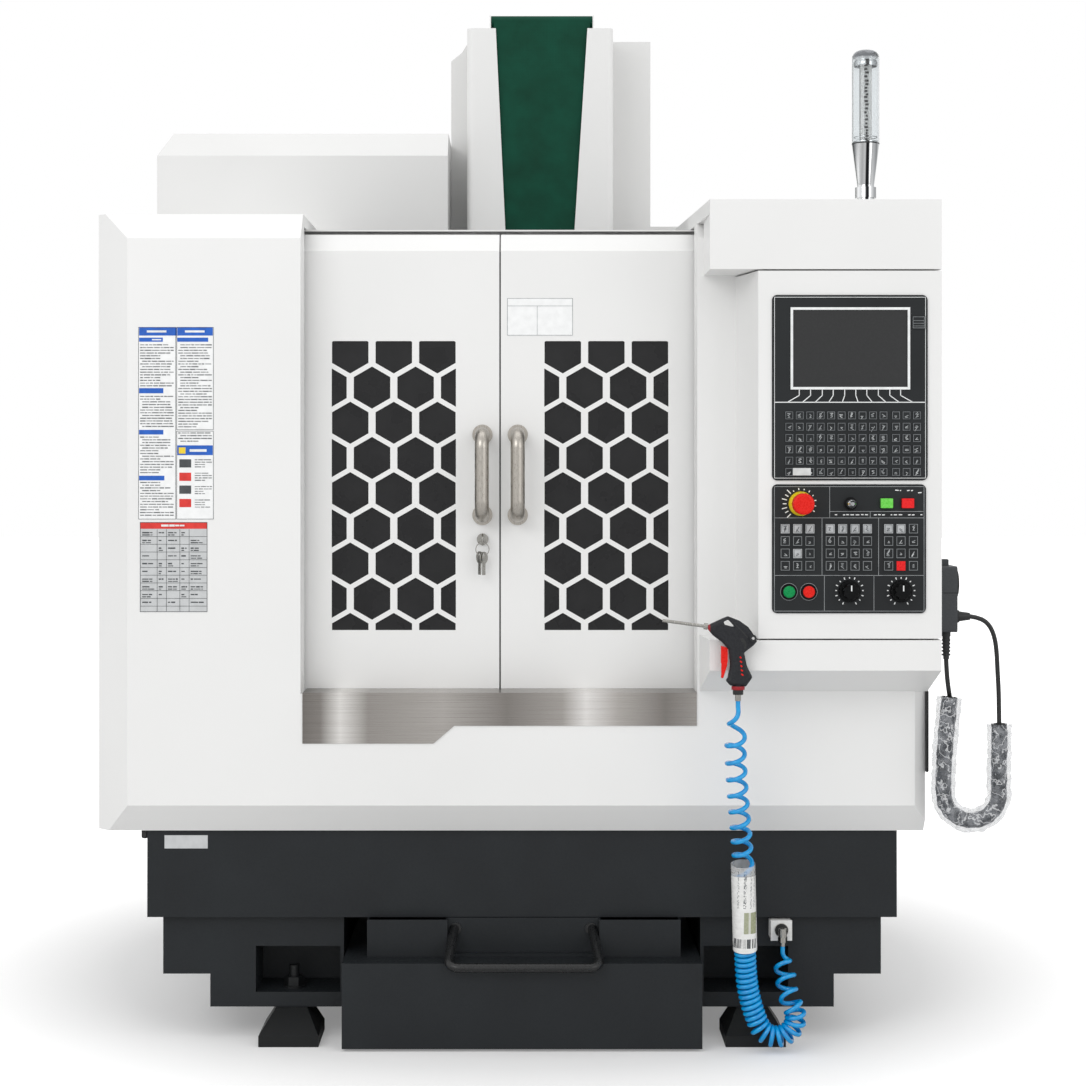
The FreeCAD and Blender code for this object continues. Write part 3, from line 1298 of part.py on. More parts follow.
# ----------------------------------------------------- magazine and columns
def magazine_cover():
    """Sheet box on the left of the roof, bevelled along its front, open underneath."""
    def can(inset, bottom):
        left = SKIN_LEFT + inset
        right = MAGAZINE_RIGHT - inset
        front = MAGAZINE_FRONT + inset
        back = ENCLOSURE_BACK - inset
        top = MAGAZINE_TOP - inset
        bend = MAGAZINE_BEND - inset * math.tan(math.radians(22.5))
        side = side_prism([
            (front, bottom), (front, bend), (front + MAGAZINE_BEVEL, top), (back, top),
            (back, bottom),
        ], left, right)
        face = front_prism([
            (left, bottom), (left, bend), (left + MAGAZINE_CORNER, top), (right, top),
            (right, bottom),
        ], front, back)
        return side.common(face)
    add("magazine_cover", can(0, SKIN_TOP).cut(can(SHEET, SKIN_TOP - MARGIN)))


def column_front_cover():
    """Cover in front of the column with the tapered slot that the curtain runs behind."""
    left = COLUMN_COVER_LEFT
    right = COLUMN_COVER_RIGHT
    front = COLUMN_COVER_FRONT
    outer = box(left, right, front, REAR_COVER_FRONT, COLUMN_COVER_BOTTOM, COVER_TOP)
    outer = rounded(outer, COLUMN_COVER_ROUND, Z_AXIS, lambda centre: centre.y < front + 1)
    inner = box(left + SHEET, right - SHEET, front + SHEET, REAR_COVER_FRONT + MARGIN,
                COLUMN_COVER_BOTTOM - MARGIN, COVER_TOP + MARGIN)
    inner = rounded(inner, COLUMN_COVER_ROUND - SHEET, Z_AXIS,
                    lambda centre: centre.y < front + SHEET + 1)
    slope_left = (COVER_SLOT_LEFT_TOP - COVER_SLOT_LEFT_LOW) / (COVER_TOP - COVER_SLOT_LOW)
    slope_right = (COVER_SLOT_RIGHT_TOP - COVER_SLOT_RIGHT_LOW) / (COVER_TOP - COVER_SLOT_LOW)
    over = COVER_TOP + MARGIN
    slot = front_prism([
        (COVER_SLOT_LEFT_LOW, COVER_SLOT_LOW),
        (COVER_SLOT_LEFT_TOP + slope_left, over),
        (COVER_SLOT_RIGHT_TOP + slope_right, over),
        (COVER_SLOT_RIGHT_LOW, COVER_SLOT_LOW),
    ], front - MARGIN, front + SHEET + MARGIN)
    shell = outer.cut(inner).cut(slot)
    roller_y = curtain_face() + ROLLER_DIAMETER / 2
    brackets = []
    for side in (ROLLER_LEFT - RUNNING - ROLLER_BRACKET, ROLLER_RIGHT + RUNNING):
        plate = box(side, side + ROLLER_BRACKET, front + SHEET,
                    roller_y + BRACKET_BEHIND, COVER_TOP - BRACKET_DROP, ROLLER_Z + BRACKET_ABOVE)
        plate = plate.cut(rod(side - MARGIN, roller_y, ROLLER_Z, X_AXIS, ROLLER_BRACKET + 2,
                              ROLLER_PIN + 2 * SHAFT_FIT))
        brackets.append(plate)
    add("column_front_cover", fused(shell, *brackets))
    roller = rod(ROLLER_LEFT, roller_y, ROLLER_Z, X_AXIS, ROLLER_RIGHT - ROLLER_LEFT,
                 ROLLER_DIAMETER)
    pin_length = ROLLER_RIGHT - ROLLER_LEFT + 2 * (RUNNING + ROLLER_BRACKET)
    pin = rod(ROLLER_LEFT - RUNNING - ROLLER_BRACKET, roller_y, ROLLER_Z, X_AXIS, pin_length,
              ROLLER_PIN)
    add("curtain_roller", fused(roller, pin))


def curtain_face():
    """Depth of the rear face of the curtain, where it leaves the roller."""
    return COLUMN_COVER_FRONT + SHEET + CURTAIN_SETBACK


def dust_curtain():
    """Cloth that unrolls from the roller down to the bar on the spindle head."""
    back = curtain_face() - RUNNING
    add("dust_curtain", box(CURTAIN_LEFT, CURTAIN_RIGHT, back - CURTAIN_THICKNESS, back,
                            MOTOR_TOP + RUNNING, ROLLER_Z))


def column_rear_cover():
    """Sheet cover round the back of the column, its left top corner slanted."""
    def can(inset, bottom):
        left = MAGAZINE_RIGHT + inset
        right = REAR_COVER_RIGHT - inset
        top = COVER_TOP - inset
        slant = REAR_COVER_SLANT
        return front_prism([
            (left, bottom), (left, top - REAR_COVER_STEEP * slant), (left + slant, top - slant),
            (COLUMN_COVER_LEFT, top), (right, top), (right, bottom),
        ], REAR_COVER_FRONT + inset, CABINET_FRONT - inset)
    passage = box(COLUMN_COVER_LEFT + SHEET, COLUMN_COVER_RIGHT - SHEET,
                  REAR_COVER_FRONT - MARGIN, REAR_COVER_FRONT + SHEET + MARGIN,
                  SKIN_TOP - MARGIN, COVER_TOP - SHEET)
    add("column_rear_cover", can(0, SKIN_TOP).cut(can(SHEET, SKIN_TOP - MARGIN)).cut(passage))


def column_casting():
    """Tapered casting with two guide rails, a screw for the head and the magazine arm."""
    x = MACHINE_X
    foot = box(x - COLUMN_FOOT_HALF_WIDTH, x + COLUMN_FOOT_HALF_WIDTH, COLUMN_FRONT, COLUMN_BACK,
               DECK_TOP, COLUMN_FOOT_TOP)
    shoulder = front_prism([
        (x - COLUMN_FOOT_HALF_WIDTH, COLUMN_FOOT_TOP),
        (x - COLUMN_HALF_WIDTH, COLUMN_FOOT_TOP + COLUMN_SHOULDER),
        (x + COLUMN_HALF_WIDTH, COLUMN_FOOT_TOP + COLUMN_SHOULDER),
        (x + COLUMN_FOOT_HALF_WIDTH, COLUMN_FOOT_TOP),
    ], COLUMN_FRONT, COLUMN_BACK)
    shaft = box(x - COLUMN_HALF_WIDTH, x + COLUMN_HALF_WIDTH, COLUMN_FRONT, COLUMN_BACK,
                COLUMN_FOOT_TOP, COLUMN_TOP)
    channel = box(x - CHANNEL_HALF, x + CHANNEL_HALF, COLUMN_FRONT - MARGIN,
                  COLUMN_FRONT + CHANNEL_DEPTH,
                  COLUMN_WAY_LOW, COLUMN_TOP + MARGIN)
    rails = []
    for side in (-1, 1):
        middle = x + side * COLUMN_WAY_HALF
        rails.append(box(middle - RAIL_WIDTH / 2, middle + RAIL_WIDTH / 2,
                         COLUMN_FRONT - RAIL_HEIGHT, COLUMN_FRONT, COLUMN_WAY_LOW,
                         COLUMN_WAY_HIGH))
    screw_y = COLUMN_FRONT - RAIL_HEIGHT / 2
    screw = rod(x, screw_y, COLUMN_WAY_LOW, Z_AXIS, COLUMN_WAY_HIGH - COLUMN_WAY_LOW, SCREW)
    ends = []
    for z in (COLUMN_WAY_LOW, COLUMN_WAY_HIGH - SCREW_BLOCK):
        ends.append(box(x - SCREW_SEAT_HALF, x + SCREW_SEAT_HALF, SLIDE_BACK + SEAT_GAP,
                        COLUMN_FRONT + CHANNEL_DEPTH + SEAT_DEPTH, z, z + SCREW_BLOCK))
    arm_y = CAROUSEL_Y - MAGAZINE_ARM_WIDTH / 2
    cross = box(CAROUSEL_X - MAGAZINE_ARM_WIDTH / 2, x - COLUMN_HALF_WIDTH,
                MAGAZINE_ARM_BACK - MAGAZINE_ARM_WIDTH, MAGAZINE_ARM_BACK,
                MAGAZINE_ARM_LOW, MAGAZINE_ARM_HIGH)
    arm = box(CAROUSEL_X - MAGAZINE_ARM_WIDTH / 2, CAROUSEL_X + MAGAZINE_ARM_WIDTH / 2, arm_y,
              MAGAZINE_ARM_BACK, MAGAZINE_ARM_LOW, MAGAZINE_ARM_HIGH)
    bearing = rod(CAROUSEL_X, CAROUSEL_Y, MAGAZINE_ARM_LOW, Z_AXIS,
                  MAGAZINE_ARM_HIGH - MAGAZINE_ARM_LOW, CAROUSEL_HUB)
    bore = rod(CAROUSEL_X, CAROUSEL_Y, MAGAZINE_ARM_LOW - MARGIN, Z_AXIS,
               MAGAZINE_ARM_HIGH - MAGAZINE_ARM_LOW + 2, CAROUSEL_SHAFT + 2 * SHAFT_FIT)
    casting = fused(foot, shoulder, shaft).cut(channel)
    casting = fused(casting, cross, arm, bearing, *rails).cut(bore)
    add("column_casting", fused(casting, screw, *ends))


def tool_carousel():
    """Disc with open pockets round its rim, hung from a shaft in the magazine arm."""
    bottom = CAROUSEL_TOP - CAROUSEL_THICKNESS
    disc = rod(CAROUSEL_X, CAROUSEL_Y, bottom, Z_AXIS, CAROUSEL_THICKNESS, 2 * CAROUSEL_RADIUS)
    pockets = []
    for index in range(CAROUSEL_POCKETS):
        angle = 2 * math.pi * index / CAROUSEL_POCKETS
        reach = CAROUSEL_RADIUS - CAROUSEL_POCKET * POCKET_BITE
        pockets.append(rod(CAROUSEL_X + reach * math.cos(angle), CAROUSEL_Y + reach * math.sin(angle),
                           bottom - MARGIN, Z_AXIS, CAROUSEL_THICKNESS + 2, CAROUSEL_POCKET))
    disc = disc.cut(group(pockets))
    hub = rod(CAROUSEL_X, CAROUSEL_Y, CAROUSEL_TOP, Z_AXIS,
              MAGAZINE_ARM_LOW - CAROUSEL_TOP - RUNNING, CAROUSEL_HUB)
    shaft = rod(CAROUSEL_X, CAROUSEL_Y, bottom, Z_AXIS, MAGAZINE_ARM_HIGH - bottom, CAROUSEL_SHAFT)
    add("tool_carousel", fused(disc, hub, shaft))


# ---------------------------------------------------------------------- bed
def foot_places():
    """Middle of each levelling stud."""
    return [(side * FOOT_X, y) for side in (-1, 1)
            for y in (FOOT_STUD_Y, BED_BACK - (FOOT_STUD_Y - BED_FRONT))]


def bed_leg():
    """The right-hand leg under the bed, with a window for the levelling stud at each end."""
    upper = box(BED_TUNNEL, BED_HALF_WIDTH, BED_FRONT, BED_BACK, BED_STEP, BED_TOP)
    lower = box(BED_TUNNEL, BED_FOOT_HALF_WIDTH, BED_FRONT, BED_BACK, BED_BOTTOM, BED_STEP)
    leg = upper.fuse(lower)
    for front in (BED_FRONT - MARGIN, BED_BACK + MARGIN - BED_WINDOW_DEPTH):
        leg = leg.cut(box(BED_WINDOW_NEAR, BED_WINDOW_FAR, front, front + BED_WINDOW_DEPTH,
                          BED_WINDOW_BOTTOM, BED_WINDOW_TOP))
    return leg


def bed_legs():
    holes = [rod(px, py, BED_BOTTOM - MARGIN, Z_AXIS, BED_WINDOW_BOTTOM - BED_BOTTOM + 2 * MARGIN,
                 STUD + STUD_HOLE_CLEARANCE) for px, py in foot_places()]
    legs = [leg.cut(group(holes)) for leg in (bed_leg(), mirrored_x(bed_leg()))]
    add("bed_legs", group(legs))


def bed_casting():
    """Deck with the chip shafts, pedestals with guide rails and the saddle's screw."""
    deck = box(-DECK_HALF_WIDTH, DECK_HALF_WIDTH, DECK_FRONT, BED_BACK, BED_TOP, DECK_TOP)
    x = MACHINE_X
    ways = []
    for side in (-1, 1):
        middle = x + side * WAY_HALF_SPACING
        ways.append(box(middle - WAY_PEDESTAL_HALF, middle + WAY_PEDESTAL_HALF, WAY_FRONT,
                        WAY_BACK, DECK_TOP, WAY_TOP))
        ways.append(box(middle - RAIL_WIDTH / 2, middle + RAIL_WIDTH / 2, WAY_FRONT, WAY_BACK,
                        WAY_TOP, WAY_TOP + RAIL_HEIGHT))
    bridges = []
    for y in (WAY_FRONT, WAY_BACK - SCREW_BLOCK):
        bridges.append(box(x - WAY_HALF_SPACING, x + WAY_HALF_SPACING, y, y + SCREW_BLOCK,
                           DECK_TOP, SCREW_Z - SCREW / 2))
        bridges.append(box(x - BRIDGE_HALF, x + BRIDGE_HALF, y, y + SCREW_BLOCK, DECK_TOP,
                           SCREW_Z + BRIDGE_ABOVE))
    screw = rod(x, WAY_FRONT, SCREW_Z, Y_AXIS, WAY_BACK - WAY_FRONT, SCREW)
    chips = []
    near = WAY_HALF_SPACING - WAY_PEDESTAL_HALF
    far = WAY_HALF_SPACING + WAY_PEDESTAL_HALF
    for x0, x1 in ((-CHIP_OPENING_HALF, x - far), (x - near, x + near)):
        chips.append(box(x0, x1, CHIP_OPENING_FRONT, CHIP_OPENING_BACK, BED_TOP - MARGIN,
                         DECK_TOP + MARGIN))
    add("bed_casting", fused(deck.cut(group(chips)), screw, *(ways + bridges)))


def splash_tray():
    """Dark pan round the deck, standing on the legs, with upright walls."""
    outer = box(-TRAY_HALF_WIDTH, TRAY_HALF_WIDTH, TRAY_FRONT, TRAY_BACK, BED_TOP, SKIN_BOTTOM)
    inner = box(-TRAY_HALF_WIDTH + TRAY_SHEET, TRAY_HALF_WIDTH - TRAY_SHEET,
                TRAY_FRONT + TRAY_SHEET, TRAY_BACK - TRAY_SHEET, BED_TOP + TRAY_SHEET,
                SKIN_BOTTOM + MARGIN)
    deck = box(-DECK_HALF_WIDTH, DECK_HALF_WIDTH, DECK_FRONT, BED_BACK,
               BED_TOP - MARGIN, BED_TOP + TRAY_SHEET + MARGIN)
    add("splash_tray", outer.cut(inner).cut(deck))


def levelling_foot(x, y):
    """Wedge-shaped pad with its stud, nut and washer, placed at a stud's middle."""
    front = FOOT_TOE
    slope_top = front + FOOT_SLOPE
    side = side_prism([
        (front, 0), (front, FOOT_LIP), (slope_top, BED_BOTTOM), (FOOT_HEEL, BED_BOTTOM),
        (FOOT_HEEL, 0),
    ], -FOOT_HALF_WIDTH, FOOT_HALF_WIDTH)
    face = front_prism([
        (-FOOT_HALF_WIDTH, 0), (-FOOT_HALF_WIDTH, FOOT_LIP), (-FOOT_TOP_HALF_WIDTH, BED_BOTTOM),
        (FOOT_TOP_HALF_WIDTH, BED_BOTTOM), (FOOT_HALF_WIDTH, FOOT_LIP), (FOOT_HALF_WIDTH, 0),
    ], front, FOOT_HEEL)
    pad = side.common(face)
    stud = rod(0, FOOT_STUD_Y, FOOT_LIP, Z_AXIS, STUD_TOP - FOOT_LIP, STUD)
    washer_top = BED_WINDOW_BOTTOM + STUD_WASHER_HEIGHT
    washer = rod(0, FOOT_STUD_Y, BED_WINDOW_BOTTOM, Z_AXIS, STUD_WASHER_HEIGHT, STUD_WASHER)
    nut = plan_prism(hex_outline(0, FOOT_STUD_Y, STUD_NUT), washer_top,
                     washer_top + STUD_NUT_HEIGHT)
    return moved(fused(pad, stud, washer, nut), x, y - FOOT_STUD_Y, 0)


def hex_outline(x, y, across):
    """The corners of a nut, from its width across the flats."""
    radius = across / math.sqrt(3)
    corners = []
    for side in range(6):
        angle = math.radians(60 * side)
        corners.append((x + radius * math.cos(angle), y + radius * math.sin(angle)))
    return corners


def levelling_feet():
    add("levelling_feet", group([levelling_foot(x, y) for x, y in foot_places()]))


# --------------------------------------------------------- saddle and table
def bearing_block(x, y, along_x, z0, z1, rail_low, rail_top):
    """A block that straddles a rail with a running gap on three sides."""
    half = RAIL_WIDTH / 2 + RUNNING
    if along_x:
        block = box(x - BLOCK_HALF_WIDTH, x + BLOCK_HALF_WIDTH, y - BLOCK_HALF_WIDTH,
                    y + BLOCK_HALF_WIDTH, z0, z1)
        groove = box(x - BLOCK_HALF_LENGTH, x + BLOCK_HALF_LENGTH, y - half, y + half,
                     rail_low, rail_top)
    else:
        block = box(x - BLOCK_HALF_WIDTH, x + BLOCK_HALF_WIDTH, y - BLOCK_HALF_LENGTH,
                    y + BLOCK_HALF_LENGTH, z0, z1)
        groove = box(x - half, x + half, y - BLOCK_HALF_LENGTH - MARGIN,
                     y + BLOCK_HALF_LENGTH + MARGIN, rail_low, rail_top)
    return block.cut(groove)


def saddle():
    """Saddle plate with blocks on the bed rails below and for the table's rails above."""
    x = MACHINE_X
    plate = box(x - SADDLE_HALF_WIDTH, x + SADDLE_HALF_WIDTH, SADDLE_FRONT, SADDLE_BACK,
                SADDLE_BOTTOM, SADDLE_TOP)
    blocks = []
    for side in (-1, 1):
        for y in (SADDLE_FRONT + BLOCK_INSET, SADDLE_BACK - BLOCK_INSET):
            blocks.append(bearing_block(x + side * WAY_HALF_SPACING, y, False,
                                        WAY_TOP + BLOCK_LIFT, SADDLE_BOTTOM,
                                        WAY_TOP, WAY_TOP + RAIL_HEIGHT + RUNNING))
            upper = SPINDLE_Y + (-1 if y < SPINDLE_Y else 1) * TABLE_RAIL_HALF_SPACING
            blocks.append(bearing_block(x + side * TABLE_BLOCK_HALF_SPACING, upper, True,
                                        SADDLE_TOP, TABLE_BOTTOM - BLOCK_LIFT,
                                        TABLE_BOTTOM - TABLE_RAIL_HEIGHT - RUNNING, TABLE_BOTTOM))
    lower_nut = box(x - SCREW_SEAT_HALF, x + SCREW_SEAT_HALF, SPINDLE_Y - NUT_HALF_LENGTH,
                    SPINDLE_Y + NUT_HALF_LENGTH, WAY_TOP - NUT_BELOW_WAY, SADDLE_BOTTOM)
    lower_nut = lower_nut.cut(rod(x, SPINDLE_Y - NUT_BORE_HALF, SCREW_Z, Y_AXIS, 2 * NUT_BORE_HALF,
                                  SCREW + 2 * RUNNING))
    screw_z = (SADDLE_TOP + TABLE_BOTTOM) / 2
    upper_nut = box(x - NUT_HALF_LENGTH, x + NUT_HALF_LENGTH, SPINDLE_Y - NUT_HALF_WIDTH,
                    SPINDLE_Y + NUT_HALF_WIDTH, SADDLE_TOP, TABLE_BOTTOM - NUT_UNDER_TABLE)
    upper_nut = upper_nut.cut(rod(x - NUT_BORE_HALF, SPINDLE_Y, screw_z, X_AXIS, 2 * NUT_BORE_HALF,
                                  SCREW + 2 * RUNNING))
    add("saddle", fused(plate, lower_nut, upper_nut, *blocks))


def work_table():
    """Table with T-slots along X, its guide rails and its screw underneath."""
    x = MACHINE_X
    left = x - TABLE_HALF_LENGTH
    right = x + TABLE_HALF_LENGTH
    plate = box(left, right, SPINDLE_Y - TABLE_HALF_DEPTH, SPINDLE_Y + TABLE_HALF_DEPTH,
                TABLE_BOTTOM, TABLE_TOP)
    plate = rounded(plate, TABLE_EDGE, Z_AXIS)
    slots = []
    for index in range(T_SLOTS):
        y = SPINDLE_Y + (index - (T_SLOTS - 1) / 2) * T_SLOT_PITCH
        neck_bottom = TABLE_TOP - T_SLOT_NECK_DEPTH
        slots.append(box(left - MARGIN, right + MARGIN, y - T_SLOT_NECK / 2, y + T_SLOT_NECK / 2,
                         neck_bottom - MARGIN, TABLE_TOP + MARGIN))
        slots.append(box(left - MARGIN, right + MARGIN, y - T_SLOT_FOOT / 2, y + T_SLOT_FOOT / 2,
                         neck_bottom - T_SLOT_FOOT_DEPTH, neck_bottom))
    rails = []
    for side in (-1, 1):
        y = SPINDLE_Y + side * TABLE_RAIL_HALF_SPACING
        rails.append(box(left, right, y - RAIL_WIDTH / 2, y + RAIL_WIDTH / 2,
                         TABLE_BOTTOM - TABLE_RAIL_HEIGHT, TABLE_BOTTOM))
    screw_z = (SADDLE_TOP + TABLE_BOTTOM) / 2
    screw = rod(left, SPINDLE_Y, screw_z, X_AXIS, right - left, SCREW)
    ends = []
    for start in (left, right - SCREW_BLOCK):
        ends.append(box(start, start + SCREW_BLOCK, SPINDLE_Y - TABLE_SEAT_HALF,
                        SPINDLE_Y + TABLE_SEAT_HALF, SADDLE_TOP + TABLE_SEAT_GAP, TABLE_BOTTOM))
    plate = plate.cut(slots[0].multiFuse(slots[1:]))
    add("work_table", fused(plate, screw, *(rails + ends)))


# ------------------------------------------------------------- spindle head
def spindle_head():
    """Head casting on its slide, with the motor on top and the bar that holds the curtain."""
    x = MACHINE_X
    nose_bore = NOSE_DIAMETER + 2 * SHAFT_FIT
    head = box(x - HEAD_HALF_WIDTH, x + HEAD_HALF_WIDTH, HEAD_FRONT, HEAD_BACK, HEAD_BOTTOM,
               HEAD_TOP)
    head = rounded(head, HEAD_CORNER, Z_AXIS, lambda centre: centre.y < HEAD_FRONT + 1)
    motor = box(x - MOTOR_HALF_WIDTH, x + MOTOR_HALF_WIDTH, MOTOR_FRONT, MOTOR_BACK, HEAD_TOP,
                MOTOR_TOP)
    motor = rounded(motor, HEAD_CORNER, Z_AXIS)
    slide = box(x - SLIDE_HALF_WIDTH, x + SLIDE_HALF_WIDTH, SLIDE_FRONT, SLIDE_BACK,
                SLIDE_BOTTOM, SLIDE_TOP)
    blocks = []
    for side in (-1, 1):
        middle = x + side * COLUMN_WAY_HALF
        for z in (SLIDE_BOTTOM + HEAD_BLOCK_INSET, SLIDE_TOP - HEAD_BLOCK_INSET):
            block = box(middle - BLOCK_HALF_WIDTH, middle + BLOCK_HALF_WIDTH, SLIDE_BACK,
                        COLUMN_FRONT - BLOCK_LIFT, z - HEAD_BLOCK_HALF_LENGTH,
                        z + HEAD_BLOCK_HALF_LENGTH)
            half = RAIL_WIDTH / 2 + RUNNING
            groove = box(middle - half, middle + half, COLUMN_FRONT - RAIL_HEIGHT - RUNNING,
                         COLUMN_FRONT, z - HEAD_BLOCK_HALF_LENGTH - MARGIN,
                         z + HEAD_BLOCK_HALF_LENGTH + MARGIN)
            blocks.append(block.cut(groove))
    middle_z = (SLIDE_BOTTOM + SLIDE_TOP) / 2
    nut = box(x - NUT_HALF_WIDTH, x + NUT_HALF_WIDTH, SLIDE_BACK, COLUMN_FRONT + HEAD_NUT_BEHIND,
              middle_z - HEAD_NUT_HALF, middle_z + HEAD_NUT_HALF)
    nut = nut.cut(rod(x, COLUMN_FRONT - RAIL_HEIGHT / 2, middle_z - HEAD_NUT_HALF - MARGIN, Z_AXIS,
                      2 * (HEAD_NUT_HALF + MARGIN), SCREW + 2 * RUNNING))
    hem_back = curtain_face() - RUNNING
    hem = box(CURTAIN_LEFT, CURTAIN_RIGHT, hem_back - CURTAIN_THICKNESS - HEM_BAR,
              hem_back + HEM_BAR,
              MOTOR_TOP - CURTAIN_HEM, MOTOR_TOP)
    post = box(x - POST_HALF, x + POST_HALF, hem_back - 2 * HEM_BAR, HEAD_BACK,
               HEAD_TOP - POST_ROOT, MOTOR_TOP - 2 * HEM_BAR)
    body = fused(head, motor, slide, nut, hem, post, *blocks)
    bore = rod(x, SPINDLE_Y, HEAD_BOTTOM - MARGIN, Z_AXIS, NOSE_INSIDE + 2 * MARGIN, nose_bore)
    add("spindle_head", body.cut(bore))


def spindle_nose():
    """Turned nose with its flange and tool taper."""
    x = MACHINE_X
    low = HEAD_BOTTOM - NOSE_DROP
    body = rod(x, SPINDLE_Y, low, Z_AXIS, NOSE_DROP + NOSE_INSIDE, NOSE_DIAMETER)
    flange = rod(x, SPINDLE_Y, low + NOSE_STEP, Z_AXIS, NOSE_DROP - NOSE_STEP - RUNNING,
                 NOSE_FLANGE)
    taper = cone(x, SPINDLE_Y, low, Z_AXIS, TAPER_DEPTH, TAPER_MOUTH, TAPER_SMALL)
    hole = rod(x, SPINDLE_Y, low + TAPER_DEPTH - MARGIN, Z_AXIS, DRAWBAR_DEPTH, DRAWBAR_HOLE)
    keys = []
    for side in (-1, 1):
        middle = SPINDLE_Y + side * DRIVE_KEY_REACH
        keys.append(box(x - DRIVE_KEY / 2, x + DRIVE_KEY / 2, middle - DRIVE_KEY / 2,
                        middle + DRIVE_KEY / 2, low - DRIVE_KEY / 2, low + DRIVE_KEY / 4))
    add("spindle_nose", fused(body, flange, *keys).cut(group([taper, hole])))


# --------------------------------------------------------- tank and drawer
def coolant_tank():
    """Open pan on runners that stands on the floor between the legs, covered at its front."""
    outer = box(-TANK_HALF_WIDTH, TANK_HALF_WIDTH, TANK_FRONT, TANK_BACK, TANK_BOTTOM, TANK_TOP)
    inner = box(-TANK_HALF_WIDTH + TANK_SHEET, TANK_HALF_WIDTH - TANK_SHEET,
                TANK_FRONT + TANK_SHEET, TANK_BACK - TANK_SHEET, TANK_BOTTOM + TANK_SHEET,
                TANK_TOP - TANK_SHEET)
    mouth = box(-TANK_HALF_WIDTH + TANK_RIM, TANK_HALF_WIDTH - TANK_RIM,
                DRAWER_FRONT + TANK_MOUTH_START, TANK_COVER_BACK,
                TANK_TOP - TANK_SHEET - MARGIN, TANK_TOP + MARGIN)
    shell = outer.cut(inner).cut(mouth)
    runners = []
    for side in (-1, 1):
        middle = side * TANK_RUNNER_X
        runners.append(box(middle - TANK_RUNNER_WIDTH / 2, middle + TANK_RUNNER_WIDTH / 2,
                           TANK_FRONT + RUNNER_INSET, TANK_BACK - RUNNER_INSET, 0, TANK_BOTTOM))
    add("coolant_tank", fused(shell, *runners))


def chip_drawer():
    """Drawer that catches the chips, with a recess in its front for the pull bar."""
    bottom = TANK_TOP + RUNNING
    outer = box(DRAWER_LEFT, DRAWER_RIGHT, DRAWER_FRONT, DRAWER_BACK, bottom, DRAWER_TOP)
    recess = box(RECESS_LEFT, RECESS_RIGHT, DRAWER_FRONT - MARGIN, DRAWER_FRONT + RECESS_DEPTH,
                 bottom + 2 * DRAWER_SHEET, DRAWER_TOP + MARGIN)
    recess_wall = box(RECESS_LEFT - DRAWER_SHEET, RECESS_RIGHT + DRAWER_SHEET, DRAWER_FRONT,
                      DRAWER_FRONT + RECESS_DEPTH + DRAWER_SHEET, bottom, DRAWER_TOP)
    inner = box(DRAWER_LEFT + DRAWER_SHEET, DRAWER_RIGHT - DRAWER_SHEET,
                DRAWER_FRONT + DRAWER_SHEET, DRAWER_BACK - DRAWER_SHEET, bottom + DRAWER_SHEET,
                DRAWER_TOP + MARGIN)
    add("chip_drawer", fused(outer.cut(inner), recess_wall).cut(recess))


def drawer_handle():
    """Black pull bar with two arms that reach forward and down from the recess."""
    seat = DRAWER_FRONT + RECESS_DEPTH
    route = cornered([
        Vector(BAR_ARM_LEFT, seat, BAR_SEAT_Z),
        Vector(BAR_LEFT, BAR_FRONT, BAR_Z),
        Vector(BAR_RIGHT, BAR_FRONT, BAR_Z),
        Vector(BAR_ARM_RIGHT, seat, BAR_SEAT_Z),
    ], radius=BAR_BEND)
    bar = tube_along(route, BAR)
    wall = box(RECESS_LEFT, RECESS_RIGHT, seat, seat + 3 * BAR, TANK_TOP, DRAWER_TOP + BAR)
    bar = bar.cut(wall)
    feet = [rod(x, seat - 3, BAR_SEAT_Z, Y_AXIS, 3, BAR + 4) for x in (BAR_ARM_LEFT + 3,
                                                                  BAR_ARM_RIGHT - 3)]
    add("drawer_handle", fused(bar, *feet))


# ------------------------------------------------------------ rear cabinet
def rear_cabinet():
    """Electrical cabinet behind the column: a box open to the rear behind its door."""
    seat = CABINET_BACK
    outer = box(CABINET_LEFT, CABINET_RIGHT, CABINET_FRONT, seat, CABINET_BOTTOM, CABINET_TOP)
    inner = box(CABINET_LEFT + SHEET, CABINET_RIGHT - SHEET, CABINET_FRONT + SHEET,
                seat + MARGIN, CABINET_BOTTOM + SHEET, CABINET_TOP - SHEET)
    mount = box(CABINET_LEFT + MOUNT_SIDE, CABINET_RIGHT - MOUNT_SIDE, CABINET_FRONT + SHEET,
                CABINET_FRONT + SHEET + MOUNT_THICKNESS, CABINET_BOTTOM + MOUNT_END,
                CABINET_TOP - MOUNT_END)
    bracket = box(MACHINE_X - COLUMN_HALF_WIDTH, MACHINE_X + COLUMN_HALF_WIDTH, COLUMN_BACK,
                  CABINET_FRONT, CABINET_BOTTOM + CABINET_ARM_RISE, SKIN_TOP - CABINET_ARM_DROP)
    knuckles = [hinge_knuckle(z, -1) for z in hinge_places()]
    add("rear_cabinet", fused(outer.cut(inner), mount, bracket, *knuckles))
    add("cabinet_door", cabinet_door())


def hinge_places():
    return (CABINET_BOTTOM + HINGE_DROP, CABINET_TOP - HINGE_DROP)


def hinge_axis():
    """X and Y of the cabinet door's hinge pins."""
    return CABINET_RIGHT + HINGE_SETBACK, CABINET_BACK + HINGE_SETBACK


